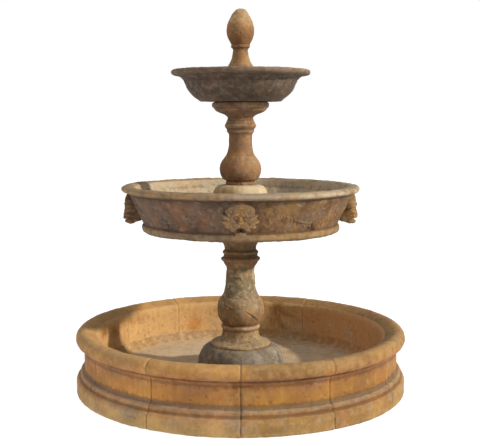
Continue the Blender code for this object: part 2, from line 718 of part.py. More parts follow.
def pump_fittings():
    flange = NECK_TOP + GAP
    barb = [(0.0092, 0.2040), (0.0092, flange + 0.004), (0.0125, flange + 0.004), (0.0125, flange)]
    turned("hose_barb", [*barb, (0.0070, flange), (0.0070, 0.2040)], pump_plastic(), SMALL_STEPS)
    for i, (x, y) in enumerate(((-0.020, 0.034), (0.020, 0.034), (-0.020, 0.102), (0.020, 0.102))):
        bm = bmesh.new()
        cylinder(bm, 0.0090, (x, y, FLOOR_TOP + GAP), (x, y, 0.0940 - GAP), 12, end_radius=0.0060)
        from_bmesh(bm, f"pump_foot_{i + 1}", black_rubber())
    back = MOTOR_BACK + GAP
    sleeve = [(0.0045, back + 0.012), (0.0075, back), (0.0030, back), (0.0030, back + 0.012)]
    on_pump_axis(turned("cable_gland", sleeve, black_rubber(), SMALL_STEPS))


def main():
    clear_scene()
    pool_walls()
    joint_mortar()
    pool_floor()
    drain()
    pedestal_plinth()
    levelling_shims()
    lower_column()
    mid_bowl()
    spout_tubes()
    column_seat()
    upper_column()
    top_bowl()
    finial()
    seals_and_stoppers()
    pipes()
    finial_nozzle()
    hose_clamp()
    pump_body()
    pump_volute()
    impeller()
    intake_strainer()
    flow_dial()
    pump_fittings()


main()
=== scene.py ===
"""The looks of a tiered stone water fountain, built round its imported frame.

Units are metres in the frame's own axes: +Z is up on the fountain's axis, and the front faces -Y.
"""

import json
import math

import bpy
import numpy as np
from mathutils import Matrix, Vector

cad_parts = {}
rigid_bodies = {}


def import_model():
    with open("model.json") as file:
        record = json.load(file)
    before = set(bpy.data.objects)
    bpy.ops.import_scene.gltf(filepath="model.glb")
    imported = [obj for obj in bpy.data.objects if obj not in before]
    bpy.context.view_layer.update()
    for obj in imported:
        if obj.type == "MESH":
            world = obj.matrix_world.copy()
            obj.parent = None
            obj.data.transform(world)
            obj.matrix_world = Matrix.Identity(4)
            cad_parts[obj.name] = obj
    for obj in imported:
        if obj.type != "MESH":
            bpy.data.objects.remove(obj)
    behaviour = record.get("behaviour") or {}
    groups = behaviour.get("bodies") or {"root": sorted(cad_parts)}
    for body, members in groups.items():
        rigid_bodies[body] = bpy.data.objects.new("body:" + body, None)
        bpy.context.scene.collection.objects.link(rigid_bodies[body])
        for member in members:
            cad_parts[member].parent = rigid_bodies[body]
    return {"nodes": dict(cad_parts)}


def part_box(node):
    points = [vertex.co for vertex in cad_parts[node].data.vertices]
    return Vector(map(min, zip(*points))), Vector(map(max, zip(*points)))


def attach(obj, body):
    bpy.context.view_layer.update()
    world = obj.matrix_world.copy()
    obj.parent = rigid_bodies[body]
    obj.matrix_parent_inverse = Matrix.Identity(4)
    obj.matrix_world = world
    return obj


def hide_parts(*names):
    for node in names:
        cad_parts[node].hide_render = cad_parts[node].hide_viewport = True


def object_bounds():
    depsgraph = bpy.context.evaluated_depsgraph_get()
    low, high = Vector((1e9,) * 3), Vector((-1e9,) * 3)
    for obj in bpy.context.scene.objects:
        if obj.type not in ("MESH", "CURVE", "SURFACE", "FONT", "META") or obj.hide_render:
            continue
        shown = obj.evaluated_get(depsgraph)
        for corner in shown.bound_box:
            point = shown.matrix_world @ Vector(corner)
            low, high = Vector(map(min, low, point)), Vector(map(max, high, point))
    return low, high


for leftover in list(bpy.data.objects):
    bpy.data.objects.remove(leftover, do_unlink=True)
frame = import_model()
CAD_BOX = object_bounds()
NODES = frame["nodes"]

TAU = 2 * math.pi
DENSE = 0.001
POOL_PIECES = 12
WALL_WEAR = 40
SPOUT_TILT = math.radians(25)
SPOUT_HALF = 0.060
MASK_SIDES = {"front": -90, "right": 0, "back": 90, "left": 180}


def low_of(node):
    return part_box(node)[0]


def high_of(node):
    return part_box(node)[1]


# Heights and radii that the frame gives
POOL_RADIUS = CAD_BOX[1].x
COPING_TOP = high_of("pool_wall_01").z
FLOOR_TOP = high_of("pool_floor").z
FLOOR_EDGE = high_of("pool_floor").x
PLINTH_LOW, PLINTH_HIGH = low_of("pedestal_plinth").z, high_of("pedestal_plinth").z
PLINTH_RADIUS = high_of("pedestal_plinth").x
COLUMN_LOW, COLUMN_HIGH = low_of("lower_column").z, high_of("lower_column").z
BOWL_LOW, BOWL_HIGH = low_of("mid_bowl").z, high_of("mid_bowl").z
SEAT_LOW, SEAT_HIGH = low_of("column_seat").z, high_of("column_seat").z
UPPER_LOW, UPPER_HIGH = low_of("upper_column").z, high_of("upper_column").z
TOP_LOW, TOP_HIGH = low_of("top_bowl").z, high_of("top_bowl").z
FINIAL_LOW, FINIAL_HIGH = low_of("finial").z, high_of("finial").z
DRAIN = (low_of("drain_fitting") + high_of("drain_fitting")) / 2

WALL_OUTER = 0.7728
WALL_INNER = 0.7003
MID_RIM_RADIUS = 0.585
TOP_RIM_RADIUS = 0.338


# Noise

def ease(value, low, high):
    """0 at low and 1 at high, with a smooth step between them."""
    t = np.clip((np.asarray(value, float) - low) / (high - low), 0, 1)
    return t * t * (3 - 2 * t)


def lattice(cell, seed):
    """Repeatable random values from -1 to 1, one for each whole-number cell."""
    mixed = cell[..., 0] * 73856093 ^ cell[..., 1] * 19349663 ^ cell[..., 2] * 83492791 ^ seed * 7919317
    mixed = (mixed ^ (mixed >> 13)) * 1274126177
    mixed = mixed ^ (mixed >> 16)
    return (mixed & 0xFFFF) / 32767.5 - 1.0


def value_noise(points, seed):
    cell = np.floor(points).astype(np.int64)
    part = points - cell
    part = part * part * (3 - 2 * part)
    total = 0.0
    for corner in range(8):
        offset = np.array([(corner >> k) & 1 for k in range(3)])
        weight = np.prod(np.where(offset, part, 1 - part), axis=-1)
        total = total + weight * lattice(cell + offset, seed)
    return total


def rough(points, size, octaves=4, seed=0, stretch=(1, 1, 1)):
    """Noise from about -1 to 1, whose largest lumps are about size across."""
    scaled = points / (size * np.array(stretch, float))
    total = 0.0
    for octave in range(octaves):
        total = total + value_noise(scaled * 2**octave + 17.3 * octave, seed + octave) / 2**octave
    return total


def pits(points, size, cover, seed):
    """1 in the middle of scattered pits about size across, and 0 between them."""
    return ease(value_noise(points / size, seed), 1 - cover, 1.0)


# Outlines, as points (r, z)

def arc(centre, radii, first, last, steps):
    angles = np.radians(np.linspace(first, last, steps + 1))
    return [(centre[0] + radii[0] * math.cos(a), centre[1] + radii[1] * math.sin(a)) for a in angles]


def between(p, q, s, u, t):
    """The Catmull-Rom curve of four values, at t from q to s."""
    return 0.5 * (2 * q + (s - p) * t + (2 * p - 5 * q + 4 * s - u) * t**2 + (3 * q - p - 3 * s + u) * t**3)


def smooth(points, steps=6):
    """A Catmull-Rom curve through the points."""
    ends = [points[0], *points, points[-1]]
    curve = []
    for four in zip(ends, ends[1:], ends[2:], ends[3:]):
        for t in np.arange(steps) / steps:
            curve.append(tuple(between(*values, t) for values in zip(*four)))
    return [*curve, points[-1]]


def resampled(line, pitch, closed):
    """Points along a line whose spacing is pitch(points)."""
    ring = np.vstack([line, line[:1]]) if closed else line
    steps = np.linalg.norm(np.diff(ring, axis=0), axis=1) / pitch((ring[1:] + ring[:-1]) / 2)
    run = np.concatenate([[0], np.cumsum(steps)])
    count = max(4, round(run[-1]))
    at = np.linspace(0, run[-1], count + 1)
    at = at[:-1] if closed else at
    return np.column_stack([np.interp(at, run, ring[:, k]) for k in range(2)])


def worn(outline, blur, closed):
    """The outline with its corners rounded over about blur metres."""
    line = resampled(np.array(outline, float), lambda p: DENSE, closed)
    reach = max(1, round(3 * blur / DENSE))
    kernel = np.exp(-0.5 * (np.arange(-reach, reach + 1) * DENSE / blur) ** 2)
    padded = np.pad(line, ((reach, reach), (0, 0)), mode="wrap" if closed else "edge")
    return np.column_stack([np.convolve(padded[:, k], kernel / kernel.sum(),
                                        mode="valid") for k in range(2)])


# Meshes

def mesh_piece(name, points, groups, relief, tone=0.0):
    """An object of these faces: groups holds whole-number arrays, one row for each face."""
    mesh = bpy.data.meshes.new(name)
    corners = np.concatenate([np.asarray(g).ravel() for g in groups]).astype(np.int32)
    sizes = np.concatenate([np.full(len(g), np.shape(g)[1]) for g in groups])
    mesh.vertices.add(len(points))
    mesh.vertices.foreach_set("co", points.astype(np.float32).ravel())
    mesh.loops.add(len(corners))
    mesh.loops.foreach_set("vertex_index", corners)
    mesh.polygons.add(len(sizes))
    mesh.polygons.foreach_set("loop_start", np.concatenate([[0], np.cumsum(sizes)[:-1]]).astype(np.int32))
    mesh.update(calc_edges=True)
    for key, value in (("relief", relief), ("tone", tone)):
        layer = mesh.attributes.new(key, "FLOAT", "POINT")
        layer.data.foreach_set("value", np.broadcast_to(value, len(points)).astype(np.float32).copy())
    mesh.shade_smooth()
    obj = bpy.data.objects.new(name, mesh)
    bpy.context.scene.collection.objects.link(obj)
    return obj


def local_mean(grid, reach, wraps):
    """The mean of a 3-D array's neighbours, up to reach away along each axis that wraps has an entry for."""
    for axis, wrap in enumerate(wraps):
        widths = [(0, 0)] * 3
        widths[axis] = (reach, reach)
        padded = np.pad(grid, widths, mode="wrap" if wrap else "edge")
        count = grid.shape[axis]
        grid = sum(np.take(padded, range(k, k + count),
                           axis) for k in range(2 * reach + 1)) / (2 * reach + 1)
    return grid


def convexity(grid, normals, wraps):
    """Above 0 on worn arrises and lumps, and below 0 in grooves and hollows."""
    near = ((grid - local_mean(grid, 2, wraps)) * normals).sum(-1) / 0.0007
    wide = ((grid - local_mean(grid, 5, wraps)) * normals).sum(-1) / 0.0035
    return np.clip(0.6 * near + 0.6 * wide, -1.5, 1.5)


def turned(name, outline, steps, pitch=0.004, blur=0.002, shape=None, sweep=None, tone=0.0, closed=True):
    """The outline turned about Z, with shape(points, angles) added along its normals.

    A closed outline runs down its outer side and up its inner side. An open one starts and ends on the axis.
    sweep is the first and last angle of a length that isn't a full turn: its ends are capped.
    """
    spacing = pitch if callable(pitch) else lambda p: pitch
    line = resampled(worn(outline, blur, closed), spacing, closed)
    if closed:
        along = np.roll(line, -1, 0) - np.roll(line, 1, 0)
    else:
        line[[0, -1], 0] = 0.0
        along = np.gradient(line, axis=0)
    across = np.column_stack([-along[:, 1], along[:, 0]])
    across /= np.linalg.norm(across, axis=1)[:, None]
    full = sweep is None
    angles = np.arange(steps) * TAU / steps if full else np.linspace(*sweep, steps + 1)
    cos, sin = np.cos(angles), np.sin(angles)
    grid = np.stack([line[:, :1] * cos, line[:, :1] * sin, np.repeat(line[:, 1:], len(angles), 1)], -1)
    normals = np.stack([across[:, :1] * cos, across[:, :1] * sin, np.repeat(across[:, 1:], len(angles), 1)],
                       -1)
    if shape is not None:
        grid = grid + normals * shape(grid, np.broadcast_to(angles, grid.shape[:2]))[..., None]
    relief = convexity(grid, normals, (closed, full))
    rows, columns = grid.shape[:2]
    index = np.arange(rows * columns).reshape(rows, columns)
    if not closed:
        grid[0, :] = grid[0].mean(0)
        grid[-1, :] = grid[-1].mean(0)
        index[0, :], index[-1, :] = index[0, 0], index[-1, 0]
    below = np.roll(index, -1, 0) if closed else index[1:]
    here = index if closed else index[:-1]
    beside, below_beside = np.roll(here, -1, 1), np.roll(below, -1, 1)
    cut = slice(None) if full else slice(0, columns - 1)
    quads = np.stack([here, below, below_beside, beside], -1)[:, cut]
    if closed:
        groups = [quads.reshape(-1, 4)]
    else:
        top, bottom = quads[0][:, [0, 1, 2]], quads[-1][:, [0, 1, 3]]
        groups = [top, quads[1:-1].reshape(-1, 4), bottom]
    if not full:
        groups += [index[:, -1][None], index[::-1, 0][None]]
    points, relief = grid.reshape(-1, 3), relief.ravel()
    if not closed:
        used, flat = np.unique(np.concatenate([g.ravel() for g in groups]), return_inverse=True)
        starts = np.cumsum([g.size for g in groups])[:-1]
        groups = [part.reshape(g.shape) for part, g in zip(np.split(flat.ravel(), starts), groups)]
        points, relief = points[used], relief[used]
    return mesh_piece(name, points, groups, relief, tone)


def surface(name, field, low, high, cell, warp, tone=0.0):
    """The closed surface where field is zero, as surface nets on a grid of cubes, moved by warp."""
    axes = [np.arange(a, b + cell, cell) for a, b in zip(low, high)]
    grid = np.stack(np.meshgrid(*axes, indexing="ij"), -1)
    value = field(grid)
    blurred = local_mean(value, 2, (False, False, False))
    shape = np.array(value.shape) - 1
    total, count = np.zeros((*shape, 3)), np.zeros(shape)
    edges = []
    for axis in range(3):
        lower = np.take(value, range(shape[axis]), axis)
        upper = np.take(value, range(1, shape[axis] + 1), axis)
        crossed = (lower < 0) != (upper < 0)
        place = np.take(grid, range(shape[axis]), axis).copy()
        place[..., axis] += cell * np.where(crossed, lower / np.where(crossed, lower - upper, 1), 0)
        one, two = [k for k in range(3) if k != axis]
        for a in (0, 1):
            for b in (0, 1):
                cut = [slice(0, shape[0]), slice(0, shape[1]), slice(0, shape[2])]
                cut[one], cut[two] = slice(a, a + shape[one]), slice(b, b + shape[two])
                total += place[tuple(cut)] * crossed[tuple(cut)][..., None]
                count += crossed[tuple(cut)]
        edges.append((axis, one, two, crossed, lower < 0))
    used = count > 0
    index = np.cumsum(used).reshape(used.shape) - 1
    points = total[used] / count[used][:, None]
    relief = np.clip(blurred[:-1, :-1, :-1][used] / (0.35 * cell), -1.5, 1.5)
    quads = []
    for axis, one, two, crossed, inside in edges:
        inner = [slice(0, shape[0]), slice(0, shape[1]), slice(0, shape[2])]
        inner[one], inner[two] = slice(1, shape[one]), slice(1, shape[two])
        found = np.argwhere(crossed[tuple(inner)])
        found[:, one] += 1
        found[:, two] += 1
        ring = []
        for a, b in ((1, 1), (0, 1), (0, 0), (1, 0)):
            at = found.copy()
            at[:, one] -= a
            at[:, two] -= b
            ring.append(index[tuple(at.T)])
        faces = np.stack(ring, -1)
        outward = inside[tuple(found.T)] != (axis == 1)
        quads.append(np.where(outward[:, None], faces, faces[:, ::-1]))
    return mesh_piece(name, warp(points), [np.concatenate(quads)], relief, tone)


def cut_away(obj, *cutters):
    """Takes the cutters out of the object's mesh."""
    for cutter in cutters:
        made = obj.modifiers.new("Cut", "BOOLEAN")
        made.object = cutter
        made.solver = "EXACT"
    bpy.context.view_layer.update()
    mesh = bpy.data.meshes.new_from_object(obj.evaluated_get(bpy.context.evaluated_depsgraph_get()))
    obj.modifiers.clear()
    obj.data = mesh
    for cutter in cutters:
        bpy.data.objects.remove(cutter, do_unlink=True)


def cylinder(name, radius, start, end, steps=48):
    """A capped cylinder between two points, used to cut or as a base to shape."""
    start, end = Vector(start), Vector(end)
    bpy.ops.mesh.primitive_cylinder_add(vertices=steps, radius=radius, depth=(end - start).length)
    obj = bpy.context.object
    obj.name = name
    turn = (end - start).to_track_quat("Z", "Y").to_matrix().to_4x4()
    obj.data.transform(Matrix.Translation((start + end) / 2) @ turn)
    return obj


def cube(name, low, high):
    low, high = Vector(low), Vector(high)
    bpy.ops.mesh.primitive_cube_add(size=1)
    obj = bpy.context.object
    obj.name = name
    obj.data.transform(Matrix.Translation((low + high) / 2) @ Matrix.Diagonal((*(high - low), 1)))
    return obj


def show(obj, look, body, slot, *nodes):
    """Gives a finished piece its material and body, and hides the CAD nodes that it stands for. slot is not
    used.
    """
    obj.data.materials.clear()
    obj.data.materials.append(look)
    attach(obj, body)
    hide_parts(*nodes)
    return obj


# Materials

class Shader:
    """One material's nodes."""

    def __init__(self, name):
        self.material = bpy.data.materials.new(name)
        self.material.use_nodes = True
        self.tree = self.material.node_tree
        self.surface = self.tree.nodes["Principled BSDF"]
        self.place = self.node("ShaderNodeTexCoord").outputs["Object"]
        self.facing = self.node("ShaderNodeTexCoord").outputs["Normal"]

    def node(self, kind, inputs=None, **settings):
        made = self.tree.nodes.new(kind)
        for key, value in settings.items():
            setattr(made, key, value)
        for key, value in (inputs or {}).items():
            self.feed(made.inputs[key], value)
        return made

    def feed(self, socket, value):
        if isinstance(value, bpy.types.NodeSocket):
            self.tree.links.new(value, socket)
        elif socket.type == "RGBA" and len(value) == 3:
            socket.default_value = (*value, 1.0)
        else:
            socket.default_value = value

    def math(self, operation, *values, clamp=False):
        return self.node("ShaderNodeMath", dict(enumerate(values)), operation=operation,
                         use_clamp=clamp).outputs[0]

    def ease(self, value, low, high, start=0.0, end=1.0):
        inputs = {"Value": value, "From Min": low, "From Max": high, "To Min": start, "To Max": end}
        return self.node("ShaderNodeMapRange", inputs, interpolation_type="SMOOTHSTEP").outputs["Result"]

    def mix(self, factor, one, two, blend="MIX"):
        made = self.node("ShaderNodeMix", {0: factor, 6: one, 7: two}, data_type="RGBA", blend_type=blend)
        return made.outputs[2]

    def stretched(self, stretch, shift=0.0):
        inputs = {"Vector": self.place, "Location": (shift, 1.7 * shift, 0.6 * shift)}
        made = self.node("ShaderNodeMapping", {**inputs, "Scale": tuple(1 / s for s in stretch)})
        return made.outputs["Vector"]

    def noise(self, size, detail=4.0, stretch=(1, 1, 1), shift=0.0, roughness=0.55, twist=0.0):
        inputs = {"Vector": self.stretched(stretch, shift), "Scale": 1 / size, "Detail": detail}
        made = self.node("ShaderNodeTexNoise", {**inputs, "Roughness": roughness, "Distortion": twist})
        return made.outputs["Fac"]

    def cells(self, size, shift=0.0):
        inputs = {"Vector": self.stretched((1, 1, 1), shift), "Scale": 1 / size}
        return self.node("ShaderNodeTexVoronoi", inputs).outputs["Distance"]

    def attribute(self, name):
        return self.node("ShaderNodeAttribute", attribute_name=name).outputs["Fac"]

    def ramp(self, value, stops):
        made = self.node("ShaderNodeValToRGB", {"Fac": value})
        points = made.color_ramp.elements
        while len(points) < len(stops):
            points.new(1.0)
        for point, (at, colour) in zip(points, stops):
            point.position = at
            point.color = (*colour, 1.0)
        return made.outputs["Color"]

    def bump(self, height, strength, distance, under=None):
        inputs = {"Height": height, "Strength": strength, "Distance": distance}
        if under is not None:
            inputs["Normal"] = under
        return self.node("ShaderNodeBump", inputs).outputs["Normal"]

    def finish(self, **values):
        for key, value in values.items():
            self.feed(self.surface.inputs[key.replace("_", " ").title().replace("Ior", "IOR")], value)
        return self.material


RAMP_HEIGHT = 2.0


def shaded(colour, amount):
    return tuple(channel * amount for channel in colour)


def stone(name, left_bands, right=None, split=(-0.1, 0.1), patches=(), lime=((0.5, 0.4, 0.28), 0.3), grit=0.35,
          edge=((0.5, 0.36, 0.20), 0.2), hollow_dirt_and_shade=0.5, pit_size=0.011, streaks=0.25, wobble=0.02,
          level=((1, 1, 1), (1, 1, 1))):
    """Weathered cast stone, coloured by height and side with painted light and shade, then stained, dusted,
    rubbed and pitted, and darkened in its hollows with dirt and painted shade.

    The first list and right hold (height, colour) stops for the left and the right side, and split is where
    one turns into the other. The bands hold painted shade under overhangs and on undersides. The right list
    paints the right side as the sunlit side and the first list paints the left side as the shade side. level
    scales the red, green and blue of each list, so that the two sides carry more or less painted light.
    A patch is (colour, size, cover, amount, bands), and a band is (axis, low, high, soft).
    """
    s = Shader(name)
    parts = s.node("ShaderNodeSeparateXYZ", {"Vector": s.place}).outputs
    flat = s.node("ShaderNodeCombineXYZ", {"X": parts["X"], "Y": parts["Y"]}).outputs[0]
    radius = s.node("ShaderNodeVectorMath", {0: flat}, operation="LENGTH").outputs["Value"]
    up = s.node("ShaderNodeSeparateXYZ", {"Vector": s.facing}).outputs["Z"]
    wander = s.math("MULTIPLY", s.math("SUBTRACT", s.noise(0.06, 5), 0.5), wobble)
    height = s.math("ADD", parts["Z"], wander)
    # A cone that runs between the inner and the outer face of the middle bowl's sloping wall
    cone = s.math("SUBTRACT", radius, s.math("MULTIPLY", s.math("SUBTRACT", parts["Z"], 0.9), 0.48))
    axes = {"x": parts["X"], "y": parts["Y"], "z": height, "r": radius, "cone": cone}

    def banded(stops, amount):
        tinted = [(z / RAMP_HEIGHT, tuple(np.multiply(colour, amount))) for z, colour in stops]
        return s.ramp(s.math("DIVIDE", height, RAMP_HEIGHT), tinted)

    def scaled(factor, colour, amount):
        """The colour times amount, mixed in as far as factor says."""
        return s.mix(factor, colour, s.mix(1.0, colour, amount, "MULTIPLY"))

    # Painted light and shade: the height bands carry painted shade, the right side's bands are painted as
    # the sunlit side, and the left side's bands are painted as the shade side.
    colour = banded(left_bands, level[0])
    if right:
        side = s.math("ADD", parts["X"], s.math("MULTIPLY", s.math("SUBTRACT", s.noise(0.12, 4), 0.5), 0.35))
        colour = s.mix(s.ease(side, *split), colour, banded(right, level[1]))

    broad = s.noise(0.16, 5, shift=3.1)
    colour = s.mix(s.ease(broad, 0.35, 0.65), s.mix(1.0, colour, (0.80, 0.78, 0.78), "MULTIPLY"),
                   s.mix(1.0, colour, (1.18, 1.16, 1.10), "MULTIPLY"))

    for number, (tint, size, cover, amount, bands) in enumerate(patches):
        found = s.noise(size, 6, shift=5.3 + 2.9 * number, roughness=0.6, twist=0.4)
        mask = s.math("MULTIPLY", s.ease(found, 0.57 - 0.3 * cover, 0.77 - 0.3 * cover), amount)
        for axis, low, high, soft in bands:
            mask = s.math("MULTIPLY", mask, s.ease(axes[axis], low - soft, low + soft))
            mask = s.math("MULTIPLY", mask, s.ease(axes[axis], high + soft, high - soft))
        colour = s.mix(mask, colour, tint)

    runs = s.noise(0.035, 5, stretch=(1, 1, 9), shift=9.0)
    colour = scaled(s.ease(runs, 0.52, 0.72, 0.0, streaks), colour, (1.35, 1.4, 1.5))
    colour = scaled(s.ease(runs, 0.46, 0.30, 0.0, streaks), colour, (0.55, 0.52, 0.5))

    flat_top = s.ease(up, 0.35, 0.95)
    dusty = s.math("MULTIPLY", flat_top, s.ease(s.noise(0.05, 5, shift=12.0), 0.3, 0.7, 0.35 * lime[1],
                                                lime[1]))
    colour = s.mix(dusty, colour, lime[0])

    relief = s.attribute("relief")
    rubbed = s.math("MULTIPLY", s.ease(relief, 0.15, 1.0), s.ease(s.noise(0.03, 4, shift=15.0), 0.35, 0.65))
    colour = s.mix(s.math("MULTIPLY", rubbed, edge[1]), colour, edge[0])
    # Hollows darkened by the relief attribute: partly dirt, partly painted shade where the hollows lie in
    # shade.
    dirt_and_painted_shade = s.ease(relief, -0.1, -1.1, 0.0, hollow_dirt_and_shade)
    colour = scaled(dirt_and_painted_shade, colour, (0.33, 0.28, 0.24))

    mottle = s.noise(0.018, 6, shift=20.0, roughness=0.65)
    colour = scaled(s.ease(mottle, 0.5, 0.72, 0.0, grit), colour, (1.5, 1.5, 1.5))
    colour = scaled(s.ease(mottle, 0.5, 0.28, 0.0, grit), colour, (0.5, 0.46, 0.42))
    speck = s.noise(0.0035, 2, shift=23.0)
    colour = scaled(s.ease(speck, 0.60, 0.75, 0.0, grit), colour, (1.7, 1.65, 1.6))
    colour = s.mix(s.ease(speck, 0.40, 0.25, 0.0, 0.7 * grit), colour, (0.05, 0.035, 0.022))
    hole = s.math("MULTIPLY", s.ease(s.cells(pit_size, 27.0), 0.24, 0.08),
                  s.ease(s.noise(0.05, 3, shift=30.0), 0.5, 0.62))
    colour = scaled(s.math("MULTIPLY", hole, 0.55), colour, (0.28, 0.24, 0.2))

    tone = s.attribute("tone")
    colour = scaled(s.ease(tone, 0.0, 1.0), colour, (1.18, 1.22, 1.3))
    colour = scaled(s.ease(tone, 0.0, -1.0), colour, (0.86, 0.78, 0.7))

    fine = s.math("ADD", s.noise(0.006, 5, shift=33.0), s.math("MULTIPLY", speck, 0.25))
    normal = s.bump(mottle, 0.5, 0.004)
    normal = s.bump(fine, 0.6, 0.0016, normal)
    normal = s.bump(s.math("SUBTRACT", 1.0, hole), 0.7, 0.0015, normal)
    return s.finish(base_color=colour, roughness=s.ease(mottle, 0.3, 0.7, 0.82, 0.97), normal=normal)


def worn_metal(name, bright, dull, tarnish, roughness):
    s = Shader(name)
    colour = s.mix(s.ease(s.noise(0.012, 5), 0.4, 0.6), bright, dull)
    spots = s.ease(s.noise(0.02, 6, shift=4.0), 0.5, 0.62)
    colour = s.mix(s.math("MULTIPLY", spots, 0.6), colour, tarnish)
    rough_now = s.ease(spots, 0.0, 1.0, roughness, 0.85)
    metal = s.ease(spots, 0.0, 1.0, 1.0, 0.35)
    return s.finish(base_color=colour, roughness=rough_now, metallic=metal,
                    normal=s.bump(s.noise(0.003, 4), 0.25, 0.0006))


def moulded(name, colour, roughness, grain=0.0012, dust=0.12):
    """Moulded plastic or rubber with a fine grain and a little mineral dust."""
    s = Shader(name)
    film = s.ease(s.noise(0.02, 5), 0.45, 0.75, 0.0, dust)
    tinted = s.mix(film, colour, (0.42, 0.36, 0.27))
    rough_now = s.ease(s.noise(0.015, 4, shift=2.0), 0.3, 0.7, roughness - 0.06, roughness + 0.08)
    return s.finish(base_color=tinted, roughness=rough_now, normal=s.bump(s.noise(grain, 3), 0.2, 0.0003))


LOOKS = {}


